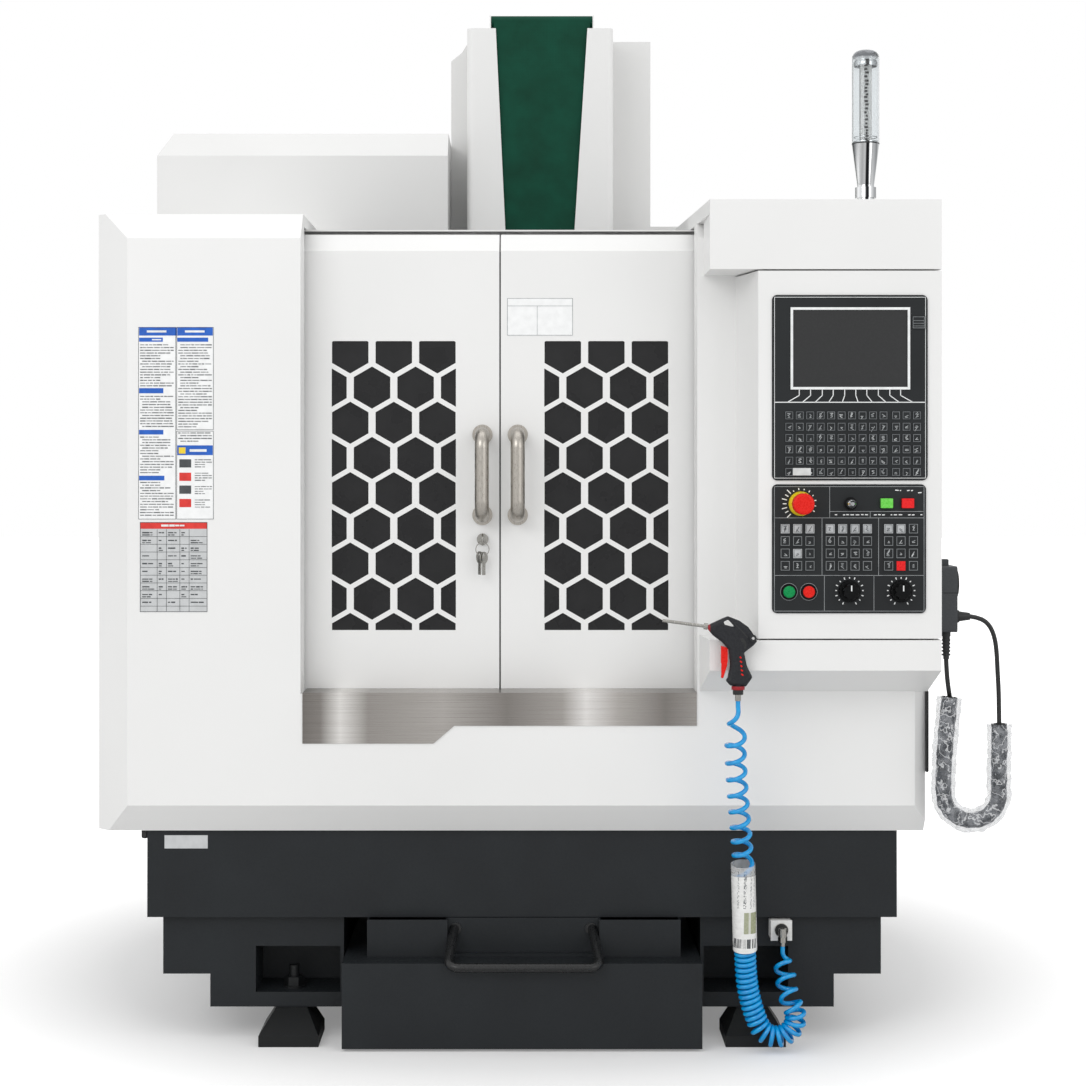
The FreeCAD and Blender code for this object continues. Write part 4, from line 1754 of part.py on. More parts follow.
def hinge_knuckle(z, side):
    """Half a hinge: a knuckle with its leaf. The lower one holds the pin."""
    x, y = hinge_axis()
    half = HINGE_LENGTH / 2
    start = z - half if side < 0 else z + RUNNING
    length = half if side < 0 else half - RUNNING
    barrel = rod(x, y, start, Z_AXIS, length, HINGE_BARREL)
    if side < 0:
        leaf = box(CABINET_RIGHT - HINGE_LEAF, x, y - HINGE_SETBACK - HINGE_LEAF_REACH,
                   y - HINGE_LEAF, start, start + length)
        leaf = leaf.common(box(CABINET_RIGHT, x, y - OUTSIDE, y, start, start + length))
        pin = rod(x, y, start, Z_AXIS, HINGE_LENGTH, HINGE_PIN)
        return fused(barrel, leaf, pin)
    leaf = box(CABINET_RIGHT - HINGE_LEAF_REACH, x, y + HINGE_LEAF / 2, y + 2 * HINGE_LEAF, start,
               start + length)
    bore = rod(x, y, start - MARGIN, Z_AXIS, length + 2 * MARGIN, HINGE_PIN + 2 * SHAFT_FIT)
    return fused(barrel, leaf).cut(bore)


def cabinet_door():
    """Rear door with a turned-in rim, a latch and its hinge leaves."""
    front = CABINET_BACK + CABINET_DOOR_GAP
    back = front + CABINET_DOOR_THICKNESS
    outer = box(CABINET_LEFT, CABINET_RIGHT - CABINET_DOOR_EDGE, front, back, CABINET_BOTTOM, CABINET_TOP)
    inner = box(CABINET_LEFT + CABINET_RIM, CABINET_RIGHT - CABINET_RIM, front - MARGIN,
                back - SHEET, CABINET_BOTTOM + CABINET_RIM, CABINET_TOP - CABINET_RIM)
    latch_z = (CABINET_BOTTOM + CABINET_TOP) / 2
    latch = box(CABINET_LEFT + LATCH_INSET, CABINET_LEFT + LATCH_INSET + LATCH_WIDTH,
                back - END_ROOM, back + LATCH_PROUD, latch_z - LATCH_HALF, latch_z + LATCH_HALF)
    knuckles = [hinge_knuckle(z, 1) for z in hinge_places()]
    return fused(outer.cut(inner), latch, *knuckles)


# ------------------------------------------------------ air outlet and gun
def air_outlet():
    """White plate with its spigot on the front of the tray, and the hose connector."""
    front = TRAY_FRONT - OUTLET_THICKNESS
    seat = front - OUTLET_SEAT
    plate = box(OUTLET_X - OUTLET_HALF_WIDTH, OUTLET_X + OUTLET_HALF_WIDTH, seat, BED_FRONT,
                OUTLET_Z - OUTLET_HALF_HEIGHT, OUTLET_Z + OUTLET_HALF_HEIGHT)
    plate = plate.cut(box(OUTLET_X - OUTSIDE, OUTLET_X + OUTSIDE, TRAY_FRONT, BED_FRONT + MARGIN,
                          BED_TOP, BED_TOP + OUTSIDE))
    add("air_outlet_block", rounded(plate, OUTLET_ROUND, Y_AXIS))
    bend = seat - SPIGOT_REACH
    spigot = rod(OUTLET_X, bend, OUTLET_Z, Y_AXIS, SPIGOT_REACH, OUTLET_SPIGOT)
    elbow = rod(OUTLET_X, bend, OUTLET_Z - ELBOW_BELOW, Z_AXIS, ELBOW_BELOW + ELBOW_ABOVE, ELBOW)
    nut = plan_prism(hex_outline(OUTLET_X, bend, ELBOW), OUTLET_Z - ELBOW_BELOW - ELBOW_ABOVE,
                     OUTLET_Z - ELBOW_ABOVE)
    tail = rod(OUTLET_X, bend, OUTLET_Z - TAIL_BELOW, Z_AXIS, TAIL_BELOW, OUTLET_TAIL)
    add("hose_connector", fused(spigot, elbow, nut, tail))


def hose_end():
    """Where the hose meets the connector on the air outlet."""
    return Vector(OUTLET_X, TRAY_FRONT - OUTLET_THICKNESS - OUTLET_SEAT - SPIGOT_REACH,
                  OUTLET_Z - TAIL_BELOW)


def gun_origin():
    """X and Z of the gun's own origin, 9 mm under the middle of its hanging hole."""
    return PEG_X, PEG_Z + PEG_RISE * (CONSOLE_FRONT - GUN_Y) / PEG_REACH - HANG_DROP


def gun_prism(points, y0, y1):
    x0, z0 = gun_origin()
    return front_prism([(x0 + x, z0 + z) for x, z in points], y0, y1)


def air_gun():
    """Blow gun hung by its rear lobe on the shelf's peg."""
    half = GUN_THICKNESS / 2
    body = gun_prism(GUN_OUTLINE, GUN_Y - half, GUN_Y + half)
    body = body.makeChamfer(GUN_ROUND, outline_edges(body, (GUN_Y - half, GUN_Y + half)))
    body = body.cut(gun_prism(GUN_LOOP, GUN_Y - half - MARGIN, GUN_Y + half + MARGIN))
    x0, z0 = gun_origin()
    hang = peg_bar(0.0, 2 * PEG_REACH, PEG + 2 * RUNNING)
    bore = rod(x0 + NOZZLE_BORE_X, GUN_Y, z0 + NOZZLE_BORE_Z, X_AXIS, NOZZLE_BORE_LENGTH, NOZZLE_BORE)
    trigger_slot = box(x0 + TRIGGER_SLOT_LEFT, x0 + TRIGGER_SLOT_RIGHT, GUN_Y - TRIGGER_SLOT_HALF,
                       GUN_Y + TRIGGER_SLOT_HALF, z0 + TRIGGER_SLOT_LOW, z0 + TRIGGER_SLOT_HIGH)
    pin_x, pin_z = x0 + TRIGGER_PIN_X, z0 + TRIGGER_PIN_Z
    pin_bore = rod(pin_x, GUN_Y - TRIGGER_PIN_HALF - RUNNING, pin_z, Y_AXIS,
                   2 * (TRIGGER_PIN_HALF + RUNNING), TRIGGER_PIN + 2 * SHAFT_FIT)
    body = body.cut(group([hang, trigger_slot, pin_bore])).cut(bore)
    ring = rod(x0 + GUN_FOOT_X, GUN_Y, z0 + GUN_RING_Z, Z_AXIS, GUN_RING_LENGTH, GUN_RING)
    add("air_gun_body", fused(body, ring))
    nozzle_start = Vector(x0, GUN_Y, z0) + NOZZLE_START
    tip = Part.makeCylinder(NOZZLE / 2, NOZZLE_REACH.Length, nozzle_start, NOZZLE_REACH)
    collar = Part.makeCylinder(NOZZLE, NOZZLE_COLLAR, nozzle_start + COLLAR_SHIFT, NOZZLE_REACH)
    add("air_gun_nozzle", fused(tip, collar).cut(body))
    trigger = gun_prism(TRIGGER_OUTLINE, GUN_Y - TRIGGER_HALF, GUN_Y + TRIGGER_HALF)
    pin = rod(pin_x, GUN_Y - TRIGGER_PIN_HALF, pin_z, Y_AXIS, 2 * TRIGGER_PIN_HALF, TRIGGER_PIN)
    add("gun_trigger", fused(trigger, pin).cut(body))
    low = gun_fitting_bottom()
    nut_low = z0 + GUN_RING_Z - GUN_NUT_LENGTH
    nut = plan_prism(hex_outline(x0 + GUN_FOOT_X, GUN_Y, GUN_NUT), nut_low, z0 + GUN_RING_Z)
    tail = rod(x0 + GUN_FOOT_X, GUN_Y, low, Z_AXIS, nut_low - low, GUN_TAIL)
    add("gun_fitting", fused(nut, tail))


def gun_fitting_bottom():
    return gun_origin()[1] - GUN_FITTING_DROP


def outline_edges(shape, depths):
    """The edges of a flat body that lie on its front and rear faces."""
    found = []
    for edge in shape.Edges:
        centre = edge.CenterOfMass
        ends = [vertex.Point.y for vertex in edge.Vertexes]
        if abs(ends[0] - ends[-1]) < 1e-6 and min(abs(centre.y - d) for d in depths) < 1e-6:
            found.append(edge)
    return found


def biarc(start, start_along, end, end_along):
    """Two tangent arcs between two points with given directions."""
    chord = end - start
    both = start_along + end_along
    scale = 2 * (1 - start_along.dot(end_along))
    across = chord.dot(both)
    reach = (math.sqrt(across * across + scale * chord.dot(chord)) - across) / scale
    middle = (start + end + (start_along - end_along) * reach) * 0.5
    joint = start + start_along * reach
    last = end - end_along * reach
    return [arc_to(start, joint, middle), arc_to(middle, last, end)]


def arc_to(start, corner, end):
    """The arc from start to end that is tangent to the lines through the corner."""
    chord_middle = (start + end) * 0.5
    rise = corner - chord_middle
    half_chord = (end - start).Length / 2
    half_turn = math.atan2(rise.Length, half_chord)
    sagitta = half_chord * math.tan(half_turn / 2)
    return Part.Arc(start, chord_middle + rise.normalize() * sagitta, end).toShape()


def coil_axis():
    """Smooth axis of the hose's coil, from the gun fitting to the connector, and its turns.

    The turns are marks of (length along the axis, turns wound up to there)."""
    top = Vector(PEG_X + GUN_FOOT_X, GUN_Y, gun_fitting_bottom() - HOSE)
    end = hose_end()
    down = [top, top + HOSE_LEAVES, *HOSE_DOWN]
    bend = []
    for step in range(BUNDLE_STEPS + 1):
        angle = math.pi * (1 + step / BUNDLE_STEPS)
        bend.append(Vector(BUNDLE_X + BUNDLE_RADIUS * math.cos(angle), BUNDLE_Y,
                           BUNDLE_Z + BUNDLE_RADIUS * math.sin(angle)))
    up = [*HOSE_UP, Vector(end.x, end.y, end.z - HOSE - END_ROOM)]
    curve = Part.BSplineCurve()
    curve.interpolate(down + bend + up)
    marks = [(0.0, 0.0)]
    for point, turns in ((down[1], TOP_TURNS), (down[5], STRETCHED_TURNS), (down[7], SLEEVE_TURNS),
                         (bend[0], CLOSE_TURNS), (bend[-1], BEND_TURNS), (up[2], TAIL_TURNS)):
        length = curve.length(curve.FirstParameter, curve.parameter(point))
        marks.append((length, marks[-1][1] + turns))
    marks.append((curve.length(), marks[-1][1] + END_TURNS))
    return curve, marks


def coil_turns(length, marks):
    """Turns wound up to a length along the axis, from stretches of even pitch."""
    for (low, low_turns), (high, high_turns) in zip(marks, marks[1:]):
        if length <= high:
            return low_turns + (high_turns - low_turns) * (length - low) / (high - low)
    return marks[-1][1]


def coil_frames(curve, count):
    """Points, directions and turned-along side vectors at even steps of an axis."""
    total = curve.length()
    frames = []
    side = X_AXIS
    for step in range(count + 1):
        length = total * step / count
        parameter = curve.parameterAtDistance(length, curve.FirstParameter) if step else \
            curve.FirstParameter
        point = curve.value(parameter)
        along = Vector(*curve.tangent(parameter)[0]).normalize()
        side = (side - along * side.dot(along)).normalize()
        frames.append((length, point, along, side, along.cross(side)))
    return frames


def coil_centre_line(curve, marks, steps_per_mm=2.0):
    """Close points along the middle of the coiled hose."""
    total = curve.length()
    points = []
    for length, point, along, side, other in coil_frames(curve, int(total * steps_per_mm)):
        reach = min(length, total - length) / COIL_RAMP
        reach = min(max(reach, 0.0), 1.0)
        radius = COIL_RADIUS * reach * reach * (3 - 2 * reach)
        angle = 2 * math.pi * coil_turns(length, marks)
        points.append(point + side * (radius * math.cos(angle)) + other * (radius * math.sin(angle)))
    return points


def coil_knots(curve, marks, points):
    """Indices of the points at each half turn of the coil, and at quarter turns near its ends."""
    total = curve.length()
    count = len(points) - 1
    turns = [coil_turns(total * index / count, marks) for index in range(count + 1)]
    knots = [0]
    target = 0.25
    last = turns[-1]
    for index, value in enumerate(turns):
        if value >= target and index < count:
            knots.append(index)
            near_end = target < 1.5 or target > last - 1.5
            target += 0.25 if near_end else 0.5
    knots.append(count)
    return knots


def air_hose():
    """The curly hose, one tube from the gun's fitting to the connector."""
    curve, marks = coil_axis()
    points = coil_centre_line(curve, marks)
    knots = coil_knots(curve, marks, points)
    edges = [Part.LineSegment(points[0] + Z_AXIS * HOSE, points[0]).toShape()]
    for first, second in zip(knots, knots[1:]):
        start_along = direction_at(points, first)
        end_along = direction_at(points, second)
        edges += biarc(points[first], start_along, points[second], end_along)
    edges.append(Part.LineSegment(points[-1], hose_end()).toShape())
    wire = Part.Wire(edges)
    section = []
    start = points[0] + Z_AXIS * HOSE
    for corner in range(HOSE_SIDES + 1):
        angle = 2 * math.pi * corner / HOSE_SIDES
        section.append(start + Vector(math.cos(angle), math.sin(angle), 0) * (HOSE / 2))
    hose = wire.makePipeShell([Part.makePolygon(section)], True, False)
    add("air_hose", hose)
    area = 0.5 * HOSE_SIDES * (HOSE / 2) ** 2 * math.sin(2 * math.pi / HOSE_SIDES)
    print("air hose volume", round(hose.Volume), "section x length", round(area * wire.Length))
    print("air hose length", round(wire.Length), "turns", round(marks[-1][1], 1))
    print("air hose least gap", least_gap(wire))


def direction_at(points, index):
    """Direction of the centre line at one of its points. Both ends run straight down or up."""
    if index == 0:
        return Vector(0, 0, -1)
    if index == len(points) - 1:
        return Vector(0, 0, 1)
    return (points[index + 1] - points[index - 1]).normalize()


def least_gap(wire):
    """Smallest gap between one turn of the hose and another, measured on points."""
    count = int(wire.Length / PROBE_STEP)
    points = wire.discretize(Number=count)
    skip = int(4 * HOSE / PROBE_STEP)
    cells = {}
    for index, point in enumerate(points):
        key = (int(point.x // PROBE_CELL), int(point.y // PROBE_CELL), int(point.z // PROBE_CELL))
        cells.setdefault(key, []).append(index)
    best = 1e9
    for (kx, ky, kz), members in cells.items():
        near = []
        for dx in (-1, 0, 1):
            for dy in (-1, 0, 1):
                for dz in (-1, 0, 1):
                    near += cells.get((kx + dx, ky + dy, kz + dz), [])
        for first in members:
            for second in near:
                if second - first > skip:
                    distance = points[first].distanceToPoint(points[second])
                    if distance < best:
                        best = distance
                        place = points[first]
    return round(best - HOSE, 2), "at", [round(value) for value in place]


def hose_label_sleeve():
    """Blank plastic sleeve round the middle of the coil."""
    curve, marks = coil_axis()
    inside = []
    for length, point, along, side, other in coil_frames(curve, 400):
        if SLEEVE_BOTTOM <= point.z <= SLEEVE_TOP and length < curve.length() * DOWN_SHARE:
            inside.append((point, along))
    start, along = inside[0]
    end = inside[-1][0]
    reach = end - start
    outer = Part.makeCylinder(SLEEVE_RADIUS, reach.Length, start, reach)
    inner = Part.makeCylinder(SLEEVE_RADIUS - SLEEVE_WALL, reach.Length + 2, start - along, reach)
    add("hose_label_sleeve", outer.cut(inner))


# ------------------------------------------------------------------ pendant
def pendant():
    """Hand-wheel box on the right wall, with its dial and the glands of its curly lead."""
    wall = SKIN_RIGHT
    face = wall + PENDANT_THICKNESS
    body = box(wall, face, PENDANT_FRONT, PENDANT_BACK, PENDANT_BOTTOM, PENDANT_TOP)
    body = rounded(body, PENDANT_ROUND, X_AXIS)
    lug = box(wall, face - LUG_SETBACK, PENDANT_FRONT + LUG_INSET, PENDANT_BACK - LUG_INSET,
              PENDANT_TOP - END_ROOM,
              PENDANT_TOP + LUG_HEIGHT)
    seam = box(wall - MARGIN, face + MARGIN, PENDANT_FRONT - MARGIN, PENDANT_BACK + MARGIN,
               PENDANT_SEAM - SEAM_HALF, PENDANT_SEAM + SEAM_HALF)
    core = box(wall, face - SEAM_DEPTH, PENDANT_FRONT + SEAM_DEPTH, PENDANT_BACK - SEAM_DEPTH,
               PENDANT_SEAM - 2 * SEAM_DEPTH, PENDANT_SEAM + 2 * SEAM_DEPTH)
    middle = (PENDANT_FRONT + PENDANT_BACK) / 2
    body = fused(body.cut(seam), lug, core)
    bore = rod(face - DIAL_SHAFT_INSIDE - END_ROOM, middle, DIAL_Z, X_AXIS,
               DIAL_SHAFT_INSIDE + 2 * END_ROOM,
               DIAL_SHAFT + 2 * SHAFT_FIT)
    add("pendant_body", body.cut(bore))
    disc = rod(face + RUNNING, middle, DIAL_Z, X_AXIS, DIAL_THICKNESS, DIAL)
    shaft = rod(face - DIAL_SHAFT_INSIDE, middle, DIAL_Z, X_AXIS, DIAL_SHAFT_INSIDE + RUNNING,
                DIAL_SHAFT)
    dimple = rod(face + RUNNING + DIAL_THICKNESS - DIMPLE_DEPTH, middle, DIAL_Z + DIAL / 2 - DIMPLE,
                 X_AXIS, 2 * DIMPLE_DEPTH, DIMPLE)
    add("pendant_dial", fused(disc, shaft).cut(dimple))
    lead_x = RELIEF_X - RELIEF_SHIFT
    side_nut = rod(face, middle, GLAND_Z, X_AXIS, GLAND_NUT, GLAND)
    side_body = cone(face + GLAND_NUT, middle, GLAND_Z, X_AXIS, GLAND_LENGTH - GLAND_NUT, GLAND_NECK,
                     GLAND_END)
    low_nut = rod(lead_x, middle, PENDANT_BOTTOM - GLAND_NUT, Z_AXIS, GLAND_NUT, RELIEF_NUT)
    relief = cone(lead_x, middle, PENDANT_BOTTOM - GLAND_NUT, -Z_AXIS, RELIEF_LENGTH - GLAND_NUT,
                  2 * RELIEF_TOP_RADIUS, 2 * RELIEF_LOW_RADIUS)
    ribs = []
    for index in range(RELIEF_RIBS):
        ribs.append(rod(lead_x, middle, PENDANT_BOTTOM - RIB_START - index * RIB_PITCH, -Z_AXIS,
                        RIB_WIDTH, RIB))
    add("pendant_glands", group([fused(side_nut, side_body), fused(low_nut, relief, *ribs)]))


def curly_route():
    """Middle line of the wrapped curly lead: down, round a half circle and up again."""
    return [Vector(x, CURLY_Y, z) for x, z in CURLY_POINTS]


def pendant_cord():
    """The pendant's lead: two plain ends and the curly stretch between them."""
    middle = (PENDANT_FRONT + PENDANT_BACK) / 2
    face = SKIN_RIGHT + PENDANT_THICKNESS
    curly = curly_route()
    down = [Vector(RELIEF_X - RELIEF_SHIFT, middle, PENDANT_BOTTOM - RELIEF_LENGTH)]
    down += [Vector(x, middle + shift, z) for x, shift, z in LEAD_DOWN]
    down.append(curly[0])
    back = [Vector(face + GLAND_LENGTH, middle, GLAND_Z)]
    back += [Vector(x, middle + shift, z) for x, shift, z in LEAD_BACK]
    back.append(curly[-1])
    lead_down = tube_along(cornered(down, note="pendant lead down"), LEAD, LEAD_SIDES)
    lead_back = tube_along(cornered(back, note="pendant lead back"), LEAD, LEAD_SIDES)
    curly_wire = cornered(curly, note="pendant curly stretch")
    curly_tube = tube_along(curly_wire, CURLY, WRAP_SIDES)
    add("pendant_cord", fused(curly_tube, lead_down, lead_back))
    outer = tube_along(curly_wire, 2 * WRAP_RADIUS, WRAP_SIDES)
    inner = tube_along(curly_wire, 2 * WRAP_BORE, WRAP_SIDES)
    add("cord_film_wrap", outer.cut(inner))


def build():
    left_enclosure_shell()
    right_enclosure_shell()
    sill_strip()
    door_tracks()
    doors()
    lock_and_keys()
    control_box()
    control_hood()
    control_shelf()
    display_unit()
    operator_panel()
    panel_controls()
    signal_lamp()
    magazine_cover()
    column_front_cover()
    dust_curtain()
    column_rear_cover()
    column_casting()
    tool_carousel()
    bed_legs()
    bed_casting()
    splash_tray()
    levelling_feet()
    saddle()
    work_table()
    spindle_head()
    spindle_nose()
    coolant_tank()
    chip_drawer()
    drawer_handle()
    rear_cabinet()
    air_outlet()
    air_gun()
    air_hose()
    hose_label_sleeve()
    pendant()
    pendant_cord()


build()
os.makedirs("parts", exist_ok=True)
for name, shape in PARTS.items():
    shape.exportStep("parts/" + name + ".step")
print(len(PARTS), "sub-parts")
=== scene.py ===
import math
import random

import bpy
from mathutils import Matrix, Vector


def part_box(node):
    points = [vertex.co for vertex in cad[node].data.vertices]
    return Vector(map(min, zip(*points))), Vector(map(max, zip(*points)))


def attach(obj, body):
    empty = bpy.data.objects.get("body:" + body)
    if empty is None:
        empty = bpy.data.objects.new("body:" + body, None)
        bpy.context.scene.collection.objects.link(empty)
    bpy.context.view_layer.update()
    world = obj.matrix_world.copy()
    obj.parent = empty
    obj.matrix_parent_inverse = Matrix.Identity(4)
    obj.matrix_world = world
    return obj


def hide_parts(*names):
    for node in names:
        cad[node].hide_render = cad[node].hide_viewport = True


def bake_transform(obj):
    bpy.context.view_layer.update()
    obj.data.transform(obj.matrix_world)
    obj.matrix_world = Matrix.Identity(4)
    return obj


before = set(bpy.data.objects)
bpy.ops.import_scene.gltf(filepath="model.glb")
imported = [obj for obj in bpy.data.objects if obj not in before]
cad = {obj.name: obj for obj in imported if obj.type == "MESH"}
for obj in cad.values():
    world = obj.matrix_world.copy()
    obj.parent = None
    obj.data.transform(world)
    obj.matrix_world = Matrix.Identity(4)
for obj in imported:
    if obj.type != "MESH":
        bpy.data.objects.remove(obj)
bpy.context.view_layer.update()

# ---------- sizes, in mm
MM = 0.001                     # one millimetre in metres
PRINT = 0.25                   # thickness of printed and engraved marks
UNIT_FRONT = -903.0            # front face of display unit and operator panel
KEY_FRONT = UNIT_FRONT - 1.6   # front of the keys' caps
CONSOLE_FRONT = -900.0
DOOR_FACE = -675.0
SKIN_FACE = -760.0             # front of the left shell, behind the placards
SKIN_SIDE = 787.0              # right side of the right shell
TRAY_FACE = -705.0
HOSE = 9.0                     # thickness of the blue hose
COIL_RADIUS = 17.6             # middle of the hose to the axis of its coil
COIL_FADE = (52.0, 30.0)       # lengths over which the coil opens and closes
HOSE_END = (508.0, -741.0, 194.0)
FITTING_BOTTOM = 691.556
BEND = (490.0, -792.0, 68.0)   # centre of the hose's lowest bend
BEND_RADIUS = 38.0
SLEEVE_LOW = 203.0
SLEEVE_HIGH = 372.0
SLEEVE_RADIUS = 23.0
LEAD = 9.0                     # thickness of the pendant's lead
CURLS = 46
CURL_RADIUS = 8.0
CURL_FADE = (16.0, 16.0)
GUN_X = 403.0                  # axis of the gun's grip
GUN_Y = -920.0
GUN_Z = 795.556
PEG_X = 429.0
LAMP_X = 657.0
LAMP_Y = CONSOLE_FRONT + 80.0
LAMP_RADIUS = 26.0
KNOBS = (("feed", 613.5), ("spindle", 710.3))
SWITCH_X = 615.0
SWITCH_Z = 1059.0
BALL_RADIUS = 9.0
OUTLET_X = 508.0
OUTLET_Z = 221.0


# ---------- finishes
def linear(hex_colour):
    """An sRGB hex value as linear red, green, blue and alpha."""
    parts = [int(hex_colour[i:i + 2], 16) / 255 for i in (1, 3, 5)]
    return [p / 12.92 if p <= 0.04045 else ((p + 0.055) / 1.055) ** 2.4 for p in parts] + [1.0]


def node(tree, kind, inputs=None, **settings):
    """Adds a shader node with its settings, and a value or a link on each named input."""
    added = tree.nodes.new(kind)
    for key, value in settings.items():
        setattr(added, key, value)
    for key, value in (inputs or {}).items():
        if isinstance(value, bpy.types.NodeSocket):
            tree.links.new(value, added.inputs[key])
        else:
            added.inputs[key].default_value = value
    return added


def finish(name, **shader_values):
    """A material with one shader: returns it, its tree, the shader and the object's coordinates."""
    material = bpy.data.materials.new(name)
    material.use_nodes = True
    tree = material.node_tree
    tree.nodes.clear()
    shader = node(tree, "ShaderNodeBsdfPrincipled",
                  {key.replace("_", " "): value for key, value in shader_values.items()})
    node(tree, "ShaderNodeOutputMaterial", {"Surface": shader.outputs["BSDF"]})
    place = node(tree, "ShaderNodeTexCoord").outputs["Object"]
    return material, tree, shader, place


def grain(tree, place, size_mm, detail=3.0, stretch=(1, 1, 1)):
    """Noise whose blotches are size_mm across, stretched along the axes with small factors."""
    laid = node(tree, "ShaderNodeMapping", {"Vector": place, "Scale": stretch})
    return node(tree, "ShaderNodeTexNoise",
                {"Vector": laid.outputs["Vector"], "Scale": 1000.0 / size_mm, "Detail": detail,
                 "Roughness": 0.55}).outputs["Fac"]


def calc(tree, operation, first, second=0.5):
    """The result of a sum, product or comparison of two values."""
    return node(tree, "ShaderNodeMath", {0: first, 1: second},
                operation=operation).outputs["Value"]


def remap(tree, value, low, high, to_low=0.0, to_high=1.0):
    """A value taken from one range to another."""
    return node(tree, "ShaderNodeMapRange",
                {"Value": value, "From Min": low, "From Max": high, "To Min": to_low,
                 "To Max": to_high}).outputs["Result"]


def ramp(tree, value, stops, interpolation="LINEAR"):
    """Colours along a value. The stops are (position, hex value or grey level)."""
    added = node(tree, "ShaderNodeValToRGB", {"Fac": value})
    added.color_ramp.interpolation = interpolation
    elements = added.color_ramp.elements
    while len(elements) < len(stops):
        elements.new(0.5)
    for element, (position, colour) in zip(elements, stops):
        element.position = position
        element.color = linear(colour) if isinstance(colour, str) else [colour] * 3 + [1.0]
    return added.outputs["Color"]


def mix(tree, amount, first, second, blend="MIX"):
    """Two colours mixed by an amount."""
    return node(tree, "ShaderNodeMix", {"Factor": amount, 6: first, 7: second},
                data_type="RGBA", blend_type=blend).outputs[2]


def tint(tree, amount, first, second, low=0.3, high=0.7):
    """Colour between two hex values by a noise amount."""
    return ramp(tree, amount, [(low, first), (high, second)])


def spread(tree, amount, low, high):
    """A noise amount mapped to a range of roughness."""
    return remap(tree, amount, 0.3, 0.7, low, high)


def axis(tree, place, name):
    """One of the three coordinates."""
    return node(tree, "ShaderNodeSeparateXYZ", {"Vector": place}).outputs[name]


def relief(tree, shader, height, depth_mm, strength=1.0):
    """Bump of a given depth."""
    bump = node(tree, "ShaderNodeBump",
                {"Height": height, "Distance": depth_mm * MM, "Strength": strength})
    link(tree, bump.outputs["Normal"], shader, "Normal")


def link(tree, source, shader, name):
    """Feeds a value to a named input."""
    tree.links.new(source, shader.inputs[name])


def coat(name, colours, tone, skin, rough, bump=None, **shader_values):
    """A finish with a noise for its colour, and one for its sheen and its bump.

    The noises are (size in mm, detail, stretch), and the bump is (depth in mm, strength)."""
    material, tree, shader, place = finish(name, **shader_values)
    broad = grain(tree, place, *tone)
    fine = grain(tree, place, *skin) if skin else broad
    link(tree, tint(tree, broad, *colours), shader, "Base Color")
    link(tree, spread(tree, fine, *rough), shader, "Roughness")
    if bump:
        relief(tree, shader, fine, *bump)
    return material


def powder_coat(name, pale, deep):
    """Polyester powder coat baked on steel sheet: even, satin, with a faint orange peel.

    Real peel is 1 to 2 mm, drawn coarse to show."""
    return coat(name, (deep, pale), (420, 2.0), (5, 2.0), (0.37, 0.48), (0.06, 0.35), IOR=1.5)


def casting_paint(name, pale, deep, roughness=0.5):
    """Two-part machine enamel on iron and plate: dark, leathery texture."""
    return coat(name, (deep, pale), (180, 3.0), (4, 4.0), (roughness - 0.07, roughness + 0.1),
                (0.12, 0.5), IOR=1.5, Specular_IOR_Level=0.3)


def satin_tube(name, pale, deep, roughness=0.3):
    """Stainless tube or turned steel, polished to a satin: fine rings of brushing."""
    return coat(name, (deep, pale), (1.6, 3.0, (1, 1, 0.15)), None,
                (roughness - 0.06, roughness + 0.08), (0.01, 0.3), Metallic=1.0, IOR=1.5)


def ground_iron(name, pale, deep, roughness=0.34):
    """Grey iron, machined and ground bright, with faint cutter marks and oil haze."""
    return coat(name, (deep, pale), (90, 3.0), (3, 3.0, (0.06, 1, 1)),
                (roughness - 0.06, roughness + 0.1), (0.03, 0.4), Metallic=1.0, IOR=1.5)


def moulded(name, pale, deep, roughness=0.35, sheen=0.5):
    """Injection-moulded ABS or nylon: even colour, faint grain, soft highlights."""
    return coat(name, (deep, pale), (3, 2.0), None, (roughness - 0.05, roughness + 0.05),
                (0.02, 0.4), IOR=1.46, Specular_IOR_Level=sheen)


def printed_vinyl(name, pale, deep):
    """Printed vinyl film: even ink, soft sheen, slightly uneven lay."""
    return coat(name, (deep, pale), (14, 2.0), None, (0.35, 0.46), (0.03, 0.3), IOR=1.45)


def brushed_stainless():
    """Cold-rolled stainless sheet, brushed along its length: fine lines, and long soft bands of
    painted reflection.
    """
    material, tree, shader, place = finish("stainless_sheet_brushed", Metallic=1.0, IOR=1.5)
    lines = grain(tree, place, 1.0, 3.0, (0.004, 1, 1))
    # painted reflection: bright and dull bands laid along X in the colour stand for the room seen
    # in the sheet
    painted_reflection_bands = ramp(tree, remap(tree, axis(tree, place, "X"), -0.43, 0.34), [
        (0.0, "#7E7A76"), (0.05, "#8F8B87"), (0.10, "#EDEBE8"), (0.17, "#A29E9A"),
        (0.36, "#B9B5B1"), (0.52, "#8E8A86"), (0.66, "#B0ACA8"), (0.72, "#F2F0EE"),
        (0.80, "#BDB9B5"), (0.92, "#8A8682"), (1.0, "#A8A4A0")])
    fine = tint(tree, lines, "#E2DFDC", "#FFFFFF")
    link(tree, mix(tree, 0.55, painted_reflection_bands, fine, "MULTIPLY"), shader, "Base Color")
    link(tree, spread(tree, lines, 0.24, 0.36), shader, "Roughness")
    relief(tree, shader, lines, 0.02, 0.3)
    return material


